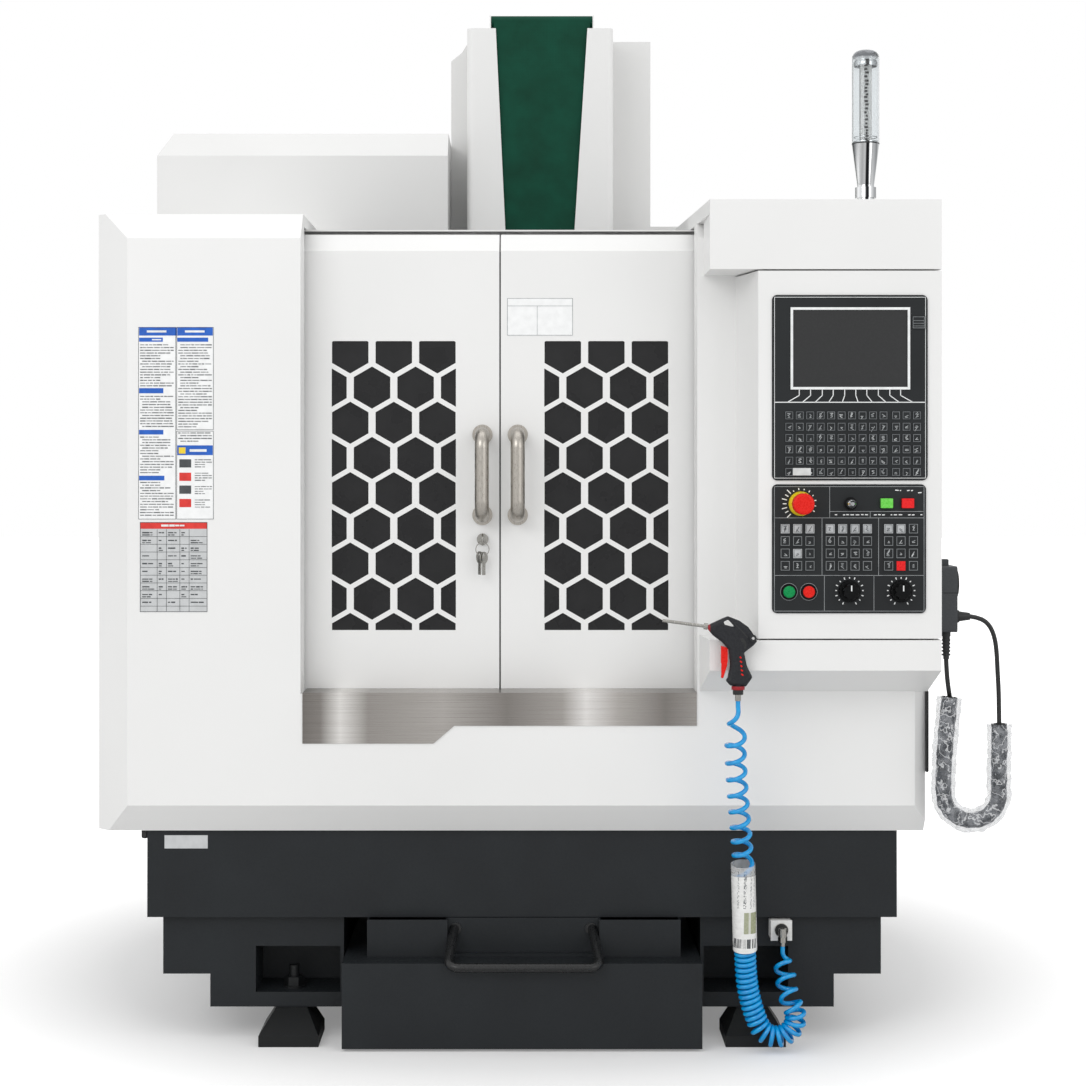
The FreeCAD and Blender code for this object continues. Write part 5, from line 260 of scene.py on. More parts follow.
def clear_acrylic():
    """Extruded acrylic tube: clear, bright rim, faint drawing lines along its length."""
    material, tree, shader, place = finish("acrylic_clear", Base_Color=linear("#F4F7F8"),
                                           Transmission_Weight=1.0, IOR=1.49)
    lines = grain(tree, place, 3, 2.0, (1, 1, 0.05))
    link(tree, spread(tree, lines, 0.02, 0.12), shader, "Roughness")
    relief(tree, shader, lines, 0.03, 0.5)
    # a slight smoke in the wall, which darkens the rims of the tube
    smoke = node(tree, "ShaderNodeVolumeAbsorption",
                 {"Color": linear("#A9ABB1"), "Density": 42.0})
    end = next(each for each in tree.nodes if each.type == "OUTPUT_MATERIAL")
    link(tree, smoke.outputs["Volume"], end, "Volume")
    return material


def crinkled_film():
    """Outer turn of thin polyethylene film round the lead: milky, soft, half clear."""
    material, tree, shader, place = finish("polyethylene_film_outer", IOR=1.5,
                                           Coat_Weight=0.3)
    creases = grain(tree, place, 13, 4.0)
    link(tree, tint(tree, creases, "#74787F", "#C6C9CE", 0.4, 0.62), shader, "Base Color")
    link(tree, spread(tree, grain(tree, place, 3, 2.0), 0.12, 0.3), shader, "Roughness")
    # the film is clear where it lies flat and milky along its creases
    link(tree, spread(tree, creases, 0.13, 0.27), shader, "Alpha")
    relief(tree, shader, creases, 1.0, 0.7)
    return material


def crushed_film():
    """Inner turn of film, pressed on the dark coil: grey, crossed by sharp creases painted white as
    highlights.
    """
    material, tree, shader, place = finish("polyethylene_film_inner", IOR=1.5, Alpha=0.9,
                                           Coat_Weight=0.6, Coat_Roughness=0.1)
    waves = grain(tree, place, 19, 2.0)
    level = calc(tree, "ABSOLUTE", calc(tree, "SUBTRACT", waves))
    painted_crease_highlight = remap(tree, level, 0.01, 0.034, 1.0, 0.0)
    # painted highlight: the sharp creases are coloured white where they would catch the light
    link(tree, tint(tree, painted_crease_highlight, "#2A2D31", "#FFFFFF", 0.2, 0.75), shader, "Base Color")
    link(tree, spread(tree, waves, 0.16, 0.34), shader, "Roughness")
    relief(tree, shader, waves, 1.4, 0.8)
    return material


def chrome_painted_reflections(name, stops, along, middle, reach):
    """Polished chrome on a turned piece, with painted reflections: the bright and dark bands of a
    dim room are painted into its colour along one axis.
    """
    material, tree, shader, place = finish(name, Metallic=1.0, IOR=1.5)
    scaled = remap(tree, axis(tree, place, along), (middle - reach) * MM, (middle + reach) * MM)
    # painted reflection: colour stops laid along one axis of the piece go into the base colour
    link(tree, ramp(tree, scaled, stops), shader, "Base Color")
    rings = grain(tree, place, 1.2, 2.0, (0.1, 0.1, 1))
    link(tree, spread(tree, rings, 0.06, 0.14), shader, "Roughness")
    relief(tree, shader, rings, 0.005, 0.3)
    return material


def curtain_cloth():
    """PVC-coated polyester cloth, pulled tight: dark green, fine canvas grid, faint folds."""
    material, tree, shader, place = finish("coated_cloth_green", IOR=1.48,
                                           Specular_IOR_Level=0.12)
    # real threads are 1 mm apart, drawn as 3.5 mm ribs to show
    warp, weft = (node(tree, "ShaderNodeTexWave",
                       {"Vector": place, "Scale": 90.0, "Distortion": 0.3, "Detail": 1.0},
                       bands_direction=way).outputs["Fac"] for way in "XZ")
    cloud = grain(tree, place, 60, 4.0)
    link(tree, tint(tree, cloud, "#0B3D2D", "#124A39"), shader, "Base Color")
    link(tree, spread(tree, cloud, 0.5, 0.65), shader, "Roughness")
    relief(tree, shader, calc(tree, "MULTIPLY", warp, weft), 0.25, 0.5)
    return material


white_coat = powder_coat("powder_coat_white", "#EDEDEC", "#E9E9E8")
grey_coat = powder_coat("powder_coat_pale_grey", "#E4E4E3", "#DFDFDE")
dark_enamel = casting_paint("machine_enamel_dark_grey", "#1F2326", "#1A1D20")
black_plate = casting_paint("machine_enamel_black", "#1A1C1D", "#141516", 0.42)
inner_paint = casting_paint("machine_enamel_grey", "#8A9090", "#7D8484", 0.45)
stainless = brushed_stainless()
handle_steel = satin_tube("stainless_tube_satin", "#B9B4AD", "#A9A49C", 0.3)
plated_steel = satin_tube("steel_nickel_plated", "#B2B1AD", "#97958F", 0.22)
chrome = satin_tube("steel_chrome_plated", "#B4B6B8", "#9C9EA0", 0.12)
# painted reflection: dark and bright bands across the lamp base and the lamp's inner rings, laid
# along X
lamp_chrome = chrome_painted_reflections("chrome_turned_painted_reflection", [
    (0.0, "#4A4C4E"), (0.08, "#8E9092"), (0.2, "#F4F5F6"), (0.32, "#C8CACB"), (0.42, "#E9EAEB"),
    (0.46, "#202224"), (0.55, "#26282A"), (0.6, "#F2F3F4"), (0.74, "#B4B6B8"), (0.86, "#7C7E80"),
    (0.94, "#C4C6C8"), (1.0, "#3E4042")], "X", LAMP_X, LAMP_RADIUS)
# painted highlight on the ball's upper half, and a painted reflection of the dark panel on its
# lower part, laid along Z
ball_chrome = chrome_painted_reflections("chrome_ball_painted_highlight", [
    (0.0, "#3A3B3C"), (0.2, "#7A7C7E"), (0.32, "#D0D2D4"), (0.42, "#FFFFFF"), (0.8, "#FFFFFF"),
    (0.92, "#D2D4D5"), (1.0, "#9C9EA0")], "Z", SWITCH_Z, BALL_RADIUS)
iron = ground_iron("cast_iron_ground", "#8E8F8F", "#7A7B7B")
spindle_steel = ground_iron("bearing_steel_ground", "#C4C5C6", "#B2B3B4", 0.22)
# matt polyester film over the keys and bezels: near black, very fine sand texture
film = coat("polyester_film_black", ("#1E2022", "#232628"), (120, 2.0), (1.5, 2.0),
            (0.5, 0.62), (0.02, 0.3), IOR=1.45, Specular_IOR_Level=0.3)
# smoke-tinted polycarbonate sheet with a weak wide gloss, made opaque and near black: painted shade
# of the dim chamber behind it
window_pane_painted_shade = coat("polycarbonate_smoke_painted_shade", ("#262627", "#2C2C2D"), (60, 3.0), None,
                  (0.24, 0.34), IOR=1.58, Specular_IOR_Level=0.12)
acrylic = clear_acrylic()
wrap_film = crinkled_film()
inner_film = crushed_film()
cloth = curtain_cloth()
# PVC cable sheath: black, dull, finely wiped
sheath = coat("pvc_sheath_black", ("#151616", "#1E1F20"), (6, 3.0), None, (0.34, 0.48),
              (0.04, 0.4), IOR=1.5)
# extruded polyurethane: bright blue, slightly see-through, wet gloss
hose_blue = coat("polyurethane_blue", ("#008BD2", "#00A4E4"), (12, 2.0), None, (0.14, 0.22),
                 IOR=1.5, Coat_Weight=0.35, Coat_Roughness=0.06, Subsurface_Weight=0.05,
                 Subsurface_Radius=(0.001, 0.003, 0.006))
black_nylon = moulded("nylon_black", "#232526", "#1A1B1C", 0.42)
black_abs = moulded("abs_black", "#1D1E1F", "#151617", 0.3)
charcoal_abs = moulded("abs_charcoal", "#3A3D40", "#303336", 0.45)
gun_grey = moulded("glass_filled_nylon_grey", "#2C2D30", "#212226", 0.42, sheen=0.25)
white_abs = moulded("abs_white", "#ECECEA", "#E2E2E0", 0.38)
red_abs = moulded("abs_red", "#E62218", "#DA1A10", 0.28, sheen=0.25)
yellow_abs = moulded("abs_yellow", "#FFE326", "#FAD812", 0.32)
green_abs = moulded("abs_green", "#079350", "#068546", 0.28, sheen=0.25)
lime_key = moulded("polycarbonate_green_lit", "#7BD95F", "#5CC63F", 0.3, sheen=0.3)
red_key = moulded("polycarbonate_red_lit", "#EE2426", "#DE1A1E", 0.3, sheen=0.25)
key_light = printed_vinyl("ink_light_grey", "#DADCDC", "#C6C8C8")
line_white = printed_vinyl("ink_white", "#F2F4F4", "#E2E4E4")
line_grey = printed_vinyl("ink_grey", "#8E9294", "#787C7E")
key_rim = printed_vinyl("ink_key_rim", "#85898C", "#64686B")
field_line = printed_vinyl("ink_field_line", "#A2A5A7", "#888C8E")
key_face = printed_vinyl("ink_key_face", "#BDBFC1", "#A2A5A7")
gloss_black = moulded("abs_black_polished", "#101112", "#0A0B0C", 0.2, sheen=0.14)
dark_red = moulded("nylon_dark_red", "#A3111F", "#870D19", 0.35)
key_print = printed_vinyl("ink_key_print", "#C2C5C6", "#8C9092")
screen_dark = moulded("screen_glass_off", "#232425", "#1F2021", 0.22)
blue_ink = printed_vinyl("ink_blue", "#1C63C8", "#1656B4")
red_ink = printed_vinyl("ink_red", "#E33A32", "#CF2E28")
yellow_ink = printed_vinyl("ink_yellow", "#F5D73A", "#E8C82C")
text_ink = printed_vinyl("ink_line_grey", "#6E7174", "#5B5E61")
dark_ink = printed_vinyl("ink_line_dark", "#4C5053", "#3C4043")
placard_white = printed_vinyl("vinyl_white", "#F7F8F8", "#EFF0F0")
placard_grey = printed_vinyl("vinyl_grey", "#CDCFD0", "#C3C5C6")

FINISHES = (
    (dark_enamel, "bed_casting bed_legs splash_tray coolant_tank chip_drawer"),
    (black_plate, "levelling_feet"), (inner_paint, "column_casting saddle spindle_head"),
    (white_coat, "left_enclosure_shell right_enclosure_shell control_box control_hood "
                 "control_shelf column_front_cover left_door_panel right_door_panel"),
    (grey_coat, "door_tracks magazine_cover column_rear_cover rear_cabinet cabinet_door"),
    (stainless, "sill_strip"), (film, "display_unit operator_panel"),
    (yellow_abs, "estop_collar"), (lamp_chrome, "lamp_base"), (acrylic, "lamp_tube"),
    (white_abs, "air_outlet_block"), (charcoal_abs, "pendant_body"), (gun_grey, "air_gun_body"),
    (plated_steel, "air_gun_nozzle gun_fitting hose_connector door_lock"),
    (black_nylon, "pendant_glands"), (placard_white, "hose_label_sleeve"),
    (window_pane_painted_shade, "left_door_window right_door_window"),
    (handle_steel, "left_door_handle right_door_handle"), (iron, "work_table tool_carousel"),
    (spindle_steel, "spindle_nose"), (red_abs, "estop_button hold_button gun_trigger"),
    (green_abs, "start_button"), (lime_key, "power_on_button"), (red_key, "power_off_button"),
    (gloss_black, "feed_knob spindle_knob"), (chrome, "mode_switch"),
    (black_abs, "pendant_dial drawer_handle"), (cloth, "curtain_roller"))
for material, names in FINISHES:
    for name in names.split():
        for material_slot in cad[name].material_slots:
            material_slot.material = material


# ---------- modelling
def pick(*pieces):
    """Selects these pieces alone, with the first of them active."""
    bpy.ops.object.select_all(action="DESELECT")
    for piece in pieces:
        piece.select_set(True)
    if pieces:
        bpy.context.view_layer.objects.active = pieces[0]


def settle(piece, name):
    """Applies the place, turn and size, so that the object sits at the origin."""
    pick(piece)
    bpy.ops.object.transform_apply(location=True, rotation=True, scale=True)
    piece.name = piece.data.name = name
    return piece


def modified(piece, *steps):
    """Adds modifiers, each a kind with its settings, and applies them in turn."""
    for kind, settings in steps:
        added = piece.modifiers.new(kind, kind)
        for key, value in settings.items():
            setattr(added, key, value)
    pick(piece)
    for modifier in list(piece.modifiers):
        bpy.ops.object.modifier_apply(modifier=modifier.name)
    return piece


def soften(piece):
    """Smooth shading with crisp edges."""
    pick(piece)
    bpy.ops.object.shade_smooth_by_angle(angle=math.radians(40))


def block(name, low, high, round_mm=0.0, steps=2):
    """A box between two corners in mm, with rounded edges."""
    pick()
    middle = [(a + b) / 2 * MM for a, b in zip(low, high)]
    bpy.ops.mesh.primitive_cube_add(size=1.0, location=middle)
    piece = bpy.context.object
    piece.scale = [(b - a) * MM for a, b in zip(low, high)]
    settle(piece, name)
    if round_mm:
        modified(piece, ("BEVEL", {"width": round_mm * MM, "segments": steps}))
    return piece


def joined(name, pieces):
    """Several objects made one."""
    pick(*pieces)
    if len(pieces) > 1:
        bpy.ops.object.join()
    pieces[0].name = pieces[0].data.name = name
    return pieces[0]


def copy_of(piece):
    """A copy with its own mesh."""
    other = piece.copy()
    other.data = piece.data.copy()
    bpy.context.collection.objects.link(other)
    return other


def strokes(name, lines, front):
    """Printed lines on a front panel. Each is (x0, z0, x1, z1, width), in mm."""
    unit = block("stroke", (-500, 0, -500), (500, 1000, 500))
    made = []
    for x0, z0, x1, z1, width in lines:
        length = math.hypot(x1 - x0, z1 - z0)
        turn = Matrix.Rotation(-math.atan2(z1 - z0, x1 - x0), 4, "Y")
        size = Matrix.Diagonal((length * MM, PRINT * MM, width * MM, 1))
        place = Matrix.Translation(((x0 + x1) / 2 * MM, (front - PRINT) * MM, (z0 + z1) / 2 * MM))
        made.append(copy_of(unit))
        made[-1].data.transform(place @ turn @ size)
    bpy.data.objects.remove(unit)
    return joined(name, made)


def outline(left, right, low, high, width):
    """Four strokes round a rectangle."""
    half = width / 2
    return [(left, low + half, right, low + half, width),
            (left, high - half, right, high - half, width),
            (left + half, low + width, left + half, high - width, width),
            (right - half, low + width, right - half, high - width, width)]


def wear(piece, material, body="machine", smooth=False):
    """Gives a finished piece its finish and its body."""
    piece.data.materials.clear()
    piece.data.materials.append(material)
    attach(piece, body)
    if smooth:
        soften(piece)
    return piece


def printed(name, lines, ink, front=UNIT_FRONT, body="machine"):
    """Strokes as a finished piece."""
    wear(strokes(name, lines, front), ink, body)


# ---------- cords
def smooth_line(name, route_mm, steps):
    """An open NURBS curve whose control points are a route's own points."""
    data = bpy.data.curves.new(name, "CURVE")
    data.dimensions = "3D"
    spline = data.splines.new("NURBS")
    spline.points.add(len(route_mm) - 1)
    for point, place in zip(spline.points, route_mm):
        point.co = (place[0] * MM, place[1] * MM, place[2] * MM, 1.0)
    spline.order_u = 3
    spline.use_endpoint_u = True
    data.resolution_u = spline.resolution_u = steps
    piece = bpy.data.objects.new(name, data)
    bpy.context.collection.objects.link(piece)
    return piece


def line_points(piece):
    """Points along a curve's own line, in metres."""
    shape = bpy.data.meshes.new_from_object(piece)
    points = [vertex.co.copy() for vertex in shape.vertices]
    bpy.data.meshes.remove(shape)
    bpy.data.objects.remove(piece)
    return points


def read_line(route_mm):
    """Points in mm along the smooth line of a route."""
    return [point / MM for point in line_points(smooth_line("guide", route_mm, 40))]


def along_line(points):
    """Lengths from the start to each point of a line."""
    lengths = [0.0]
    for first, second in zip(points, points[1:]):
        lengths.append(lengths[-1] + (second - first).length)
    return lengths


def wound(points, marks, radius, fades, steps_per_turn=12):
    """Points of a coil round a line. The marks are (length, turns wound up to there).

    The coil opens over the first of the fades, and closes over the second."""
    lengths = along_line(points)
    total = lengths[-1]
    side = Vector((1, 0, 0))
    frames = []
    for index, point in enumerate(points):
        ahead = points[min(index + 1, len(points) - 1)]
        behind = points[max(index - 1, 0)]
        along = (ahead - behind).normalized()
        side = (side - along * side.dot(along)).normalized()
        frames.append((point, side.copy(), along.cross(side)))

    def length_at(turn):
        for (low, low_turn), (high, high_turn) in zip(marks, marks[1:]):
            if turn <= high_turn:
                return low + (high - low) * (turn - low_turn) / (high_turn - low_turn)
        return marks[-1][0]

    coil = []
    count = int(marks[-1][1] * steps_per_turn)
    index = 0
    for step in range(count + 1):
        turn = marks[-1][1] * step / count
        length = min(length_at(turn), total)
        while index < len(lengths) - 2 and lengths[index + 1] < length:
            index += 1
        share = (length - lengths[index]) / max(lengths[index + 1] - lengths[index], 1e-9)
        share = min(max(share, 0.0), 1.0)
        middle, out, other = (here.lerp(there, share)
                              for here, there in zip(frames[index], frames[index + 1]))
        reach = min(max(min(length / fades[0], (total - length) / fades[1]), 0.0), 1.0)
        swing = radius * reach * reach * (3 - 2 * reach)
        angle = 2 * math.pi * turn
        coil.append(middle + out.normalized() * (swing * math.cos(angle))
                    + other.normalized() * (swing * math.sin(angle)))
    return coil


def cord(name, route_mm, diameter_mm, sides, material, replaced):
    """A round cord along a route."""
    piece = smooth_line(name, route_mm, 3)
    piece.data.bevel_depth = diameter_mm / 2 * MM
    piece.data.bevel_resolution = sides
    piece.data.use_fill_caps = True
    wear(piece, material, "machine")
    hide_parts(replaced)
    return piece


def spline_length(piece):
    """Real length of a curve's own line in metres."""
    bare = piece.data.copy()
    bare.bevel_depth = 0.0
    holder = bpy.data.objects.new("bare", bare)
    bpy.context.collection.objects.link(holder)
    return along_line(line_points(holder))[-1]


def air_hose():
    """The blue curly hose: stretched by the gun, close through the sleeve, bundled at the floor."""
    top = FITTING_BOTTOM - HOSE
    down = [
        (GUN_X, GUN_Y, top), (GUN_X - 1, GUN_Y + 5, top - 26), (400, -893, 615),
        (405, -872, 540), (413, -855, 460), (421, -838, 380), (425, -820, 290),
        (428, -803, 200), (431, -796, 146), (439, -793, 100),
    ]
    bend = []
    for step in range(8):
        angle = math.pi + 0.25 + step * 0.484
        bend.append((BEND[0] + BEND_RADIUS * math.cos(angle), BEND[1],
                     BEND[2] + BEND_RADIUS * math.sin(angle)))
    up = [(513.5, -780, 108), (511, -763, 140), (509, -747, 168),
          (HOSE_END[0], HOSE_END[1], HOSE_END[2] - HOSE - 1)]
    line = read_line(down + bend + up)
    lengths = along_line(line)

    def length_near(place):
        target = Vector(place)
        best = min(range(len(line)), key=lambda i: (line[i] - target).length)
        return lengths[best]

    marks = [(0.0, 0.0)]
    for place, turns in (((401, -897, 631), 0.77), ((404, -878, 562), 2.0),
                         ((409, -864, 498), 2.0), ((415, -850, 437), 2.0),
                         (down[5], 2.1), (down[7], 3.0), (bend[0], 13.8),
                         (bend[-1], 8.6), (up[2], 3.3)):
        marks.append((length_near(place), marks[-1][1] + turns))
    marks.append((lengths[-1], marks[-1][1] + 0.3))
    start = Vector((GUN_X, GUN_Y, FITTING_BOTTOM))
    route = [start, start - Vector((0, 0, HOSE * 0.5))]
    route += wound(line, marks, COIL_RADIUS, COIL_FADE) + [Vector(HOSE_END)]
    hose = cord("air_hose_coil", route, HOSE, 3, hose_blue, "air_hose")
    spline_length(hose)
    label_sleeve(line)


CURLY_ROUTE = [
    (826, -780, 684), (820.5, -780, 632), (815.5, -780, 580), (814, -780, 528),
    (813.5, -780, 477.4), (845.4, -780, 445.5), (890.6, -780, 445.5), (922.5, -780, 477.4),
    (920.5, -780, 529), (922.3, -780, 581), (921.5, -780, 632),
]


def pendant_lead():
    """The lead of the hand-wheel box: plain, curly in the film, plain again."""
    down = [(815, -800, 759), (816, -800, 734), (820, -792, 709)]
    back = [
        (921, -780, 664), (920, -782, 698), (917, -786, 733), (914.5, -791, 768),
        (910, -795, 799), (900, -798, 823), (882, -800, 838), (860, -800, 841),
    ]
    line = read_line(CURLY_ROUTE)
    coil = wound(line, [(0.0, 0.0), (along_line(line)[-1], CURLS)], CURL_RADIUS, CURL_FADE)
    lead = cord("pendant_lead_curly", down + coil + back, LEAD, 2, sheath,
                "pendant_cord")
    wrap = film_turn("film_round_lead", 23.5, 8.0, wrap_film)
    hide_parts("cord_film_wrap")
    inner = film_turn("film_on_coil", 15.0, 5.0, inner_film)
    spline_length(lead)


def film_turn(name, radius_mm, crumple_mm, material):
    """One turn of film wound loosely round the curly stretch, crumpled all over."""
    piece = smooth_line(name, CURLY_ROUTE, 22)
    piece.data.bevel_depth = radius_mm * MM
    piece.data.bevel_resolution = 10
    pick(piece)
    bpy.ops.object.convert(target="MESH")
    piece = bpy.context.object
    folds = bpy.data.textures.new("film_folds", "CLOUDS")
    folds.noise_scale = 0.014
    folds.noise_depth = 2
    modified(piece, ("DISPLACE", {"texture": folds, "texture_coords": "LOCAL",
                                  "strength": crumple_mm * MM, "mid_level": 0.5}),
             ("SOLIDIFY", {"thickness": 0.4 * MM, "offset": -1}))
    settle(piece, name)
    wear(piece, material, "machine")
    for polygon in piece.data.polygons:
        polygon.use_smooth = False
    return piece


# ---------- curtain
def dust_curtain():
    """Cloth between the roller and the head, pulled tight with faint folds along it."""
    low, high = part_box("dust_curtain")
    wide = high[0] - low[0]
    tall = high[2] - low[2]
    middle = (low[0] + high[0]) / 2
    pick()
    bpy.ops.mesh.primitive_grid_add(x_subdivisions=28, y_subdivisions=60, size=1.0)
    piece = bpy.context.object
    piece.scale = (wide, tall, 1)
    piece.rotation_euler = (math.radians(90), 0, 0)
    piece.location = (middle, low[1] + 0.8 * MM, (low[2] + high[2]) / 2)
    settle(piece, "dust_curtain_cloth")
    for vertex in piece.data.vertices:
        u = (vertex.co.x - low[0]) / wide
        v = (vertex.co.z - low[2]) / tall
        edge = math.sin(math.pi * u) * math.sin(math.pi * min(max(v, 0), 1))
        folds = 1.0 * math.sin(u * 19 + 2.2 * v) + 0.6 * math.sin(v * 14)
        vertex.co.y += folds * edge * MM
    modified(piece, ("SOLIDIFY", {"thickness": 0.8 * MM, "offset": 0}))
    piece.data.materials.clear()
    piece.data.materials.append(cloth)
    soften(piece)
    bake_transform(piece)
    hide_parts("dust_curtain")


# ---------- display unit
def key_legend(x, z, width, height, marks):
    """Small plain strokes that stand for the marks on a key cap, no two quite alike."""
    centre = x + width / 2 + marks.uniform(-1.2, 1.2)
    middle = z - height / 2 + marks.uniform(-1.0, 1.0)
    made = []
    for stroke in range(marks.choice((2, 2, 3, 4))):
        half = marks.uniform(1.2, 3.4)
        lean = marks.choice((0.0, 0.0, 0.5, -0.7, 1.6))
        low = middle + 2.4 * stroke - 3.2
        made.append((centre - half, low - half * lean, centre + half, low + half * lean, 1.1))
    return made


# upper and lower ends of the fanned lines under the screen
FAN_TOPS = (519.375, 540.5625, 562.5, 582.9375, 604.5, 625.3125, 645.9375, 667.5, 689.0625,
            709.3125)
FAN_LOWS = (498.0, 525.9375, 549.5625, 574.875, 600.1875, 629.625, 656.0625, 681.5625,
            706.125, 731.4375)
SMALL_KEY = 15.0


def display_marks():
    """Printed lines, the pale surround of the screen, and the outlined keys."""
    lines = outline(472.6, 756.4, 1106.6, 1446.4, 0.9)
    lines.append((473, 1249.1, 756, 1249.1, 1.7))
    for top, low in zip(FAN_TOPS, FAN_LOWS):
        lines += [(top, 1273.5, top, 1261.5, 1.6), (top, 1262.0, low, 1249.6, 1.6)]
    printed("display_lines", lines, line_white)
    printed("screen_surround", outline(503, 727, 1273, 1427, 4.7), line_white,
            front=UNIT_FRONT - 1.2)
    wear(block("screen_glass", (507.9, -901.6, 1277.9), (722.1, -901.0, 1422.1)), screen_dark)
    card = outline(732, 754, 1388, 1409.5, 0.8)
    card += [(732, 1402 - 5 * row, 754, 1402 - 5 * row, 0.8) for row in range(3)]
    printed("card_cover_lines", card, line_grey, front=KEY_FRONT)
    rings = []
    legends = []
    marks = random.Random(4)
    for left, columns in ((493.0, 10), (693.0, 3)):
        for row in range(6):
            for column in range(columns):
                x = left + 19.6 * column
                z = 1232.0 - 21.2 * row
                rings += outline(x + 0.5, x + 14.5, z - 14.5, z - 0.5, 0.8)
                legends += key_legend(x, z, SMALL_KEY, SMALL_KEY, marks)
    printed("display_key_rings", rings, key_rim, front=KEY_FRONT)
    printed("display_key_legends", legends, key_print, front=KEY_FRONT)
    wear(block("wide_light_key", (507.0, UNIT_FRONT - 2.0, 1112.0), (541.0, UNIT_FRONT, 1126.0),
               0.8), key_light)


# ---------- operator panel
ESTOP_X = 522.5
KNOB_Z = 895.0
KEY_PITCH = 23.2
KEY_WIDTH = 18.5
KEY_HEIGHT = 19.5


def tick_rings():
    """Ticks round the emergency stop and both knobs, and plain dashes in place of words."""
    ticks = []
    for x, z, radius, first, last, count, long in (
            (ESTOP_X, SWITCH_Z, 26.0, -30, 120, 8, 2.6),
            (ESTOP_X, SWITCH_Z, 27.0, 135, 225, 7, 7.0),
            *((x, KNOB_Z, 23.6, -62, 242, 15, 3.0) for _, x in KNOBS)):
        for step in range(count):
            angle = math.radians(first + (last - first) * step / (count - 1))
            reach = radius + long * (1.0 if step % 2 else 1.4)
            ticks.append((x + radius * math.cos(angle), z + radius * math.sin(angle),
                          x + reach * math.cos(angle), z + reach * math.sin(angle), 1.9))
    words = random.Random(23)
    for x, right, z in ((699, 730, 1084), (742, 750, 1080), (586, 748, 1038.4)):
        while x < right:
            wide = words.uniform(2.5, 7.0)
            ticks.append((x, z + words.uniform(-0.6, 0.6), x + wide, z, 1.8))
            x += wide + words.choice((2.0, 2.5, 3.0, 11.0))
    printed("panel_ticks", ticks, line_white)


def panel_marks():
    """Fields, key faces, tick rings and pointers of the operator panel."""
    lines = outline(472.4, 753.6, 857.4, 1091.6, 0.9)
    lines += [(*ends, 0.9) for ends in (
        (576.4, 1032.5, 576.4, 1091), (652.3, 1032.5, 652.3, 1044.5),
        (576.4, 1044.5, 752, 1044.5), (473, 1032.5, 753, 1032.5), (473, 924.7, 753, 924.7),
        (566.4, 858, 566.4, 924.7), (659.3, 858, 659.3, 924.7), (562.0, 925, 562.0, 1032),
        (668.0, 925, 668.0, 1032))]
    printed("panel_lines", lines, field_line)
    tick_rings()
    pale = []
    rings = []
    legends = []
    dark_legends = []
    marks = random.Random(11)
    for side, (left, columns) in enumerate(((483.6, 3), (568.0, 4), (677.3, 3))):
        for row in range(4):
            for column in range(columns):
                x = left + KEY_PITCH * column
                z = 1022.0 - KEY_PITCH * row
                if (side, row, column) == (2, 3, 1):
                    wear(block("red_key", (x + 1, UNIT_FRONT - 2.0, z - 18.5),
                               (x + 17.5, UNIT_FRONT - 1.5, z - 1.0), 0.2), red_key)
                elif (row == 0 and (side, column) != (2, 2)) or (side, row, column) == (0, 2, 1):
                    pale.append((x + 1, z - 9.8, x + 17.5, z - 9.8, 17.0))
                    dark_legends += key_legend(x, z, KEY_WIDTH, KEY_HEIGHT, marks)
                    dark_legends += outline(x + 2.4, x + 16.2, z - 16.6, z - 2.4, 0.7)
                else:
                    rings += outline(x + 1, x + 17.5, z - 18.2, z - 0.9, 0.9)
                    legends += key_legend(x, z, KEY_WIDTH, KEY_HEIGHT, marks)
    printed("pale_key_faces", pale, key_face, front=KEY_FRONT)
    printed("panel_key_edges", rings, line_grey, front=KEY_FRONT)
    printed("panel_key_legends", legends, key_print, front=KEY_FRONT)
    printed("pale_key_legends", dark_legends, dark_ink, KEY_FRONT - PRINT)
    for knob, x in KNOBS:
        printed(knob + "_pointer", [(x, 896.5, x, 907, 2.2)], line_white, front=-929.3,
                body=knob + "_override")


def ring(name, middle, radius, wall, tall, facing_front=True):
    """A flat ring with bevelled edges; its axis runs to the front or straight up."""
    pick()
    tilt = math.radians(90) if facing_front else 0.0
    bpy.ops.mesh.primitive_circle_add(vertices=40, radius=radius * MM, fill_type="NGON",
                                      location=[value * MM for value in middle],
                                      rotation=(tilt, 0, 0))
    piece = bpy.context.object
    bpy.ops.object.mode_set(mode="EDIT")
    bpy.ops.mesh.select_all(action="SELECT")
    bpy.ops.mesh.inset(thickness=wall * MM)
    bpy.ops.mesh.delete(type="FACE")
    bpy.ops.object.mode_set(mode="OBJECT")
    settle(piece, name)
    return modified(piece, ("SOLIDIFY", {"thickness": tall * MM, "offset": 1.0}),
                    ("BEVEL", {"width": min(0.4, tall * 0.3) * MM, "segments": 2}))


def panel_rings():
    """Bezels round the push buttons and the switch, and the ball on the switch's lever."""
    wear(ring("switch_ring_nut", (SWITCH_X, -907.0, SWITCH_Z), 12.4, 5.0, 1.8), gloss_black,
         smooth=True)
    for name, x in (("start_bezel", 500.0), ("hold_bezel", 537.0)):
        wear(ring(name, (x, UNIT_FRONT, 894.0), 15.2, 3.5, 3.2), gloss_black,
             smooth=True)
        wear(ring(name + "_rim", (x, UNIT_FRONT, 894.0), 16.4, 1.0, 0.6), field_line)
    wear(ring("switch_boot", (SWITCH_X, -908.6, SWITCH_Z), 8.4, 2.2, 2.4), sheath,
         smooth=True)
    pick()
    bpy.ops.mesh.primitive_uv_sphere_add(segments=32, ring_count=20, radius=BALL_RADIUS * MM,
                                         location=(SWITCH_X * MM, -921.0 * MM, SWITCH_Z * MM))
    wear(settle(bpy.context.object, "switch_ball"), ball_chrome, "memory_switch",
         smooth=True)


# ---------- placards
SHEET_FRONT = SKIN_FACE - 0.4
INK_FRONT = SKIN_FACE - 0.66   # on top of other ink
LEFT_TEXT = -743.0
RIGHT_TEXT = -669.0
PICTURE_LEFT = -665.0


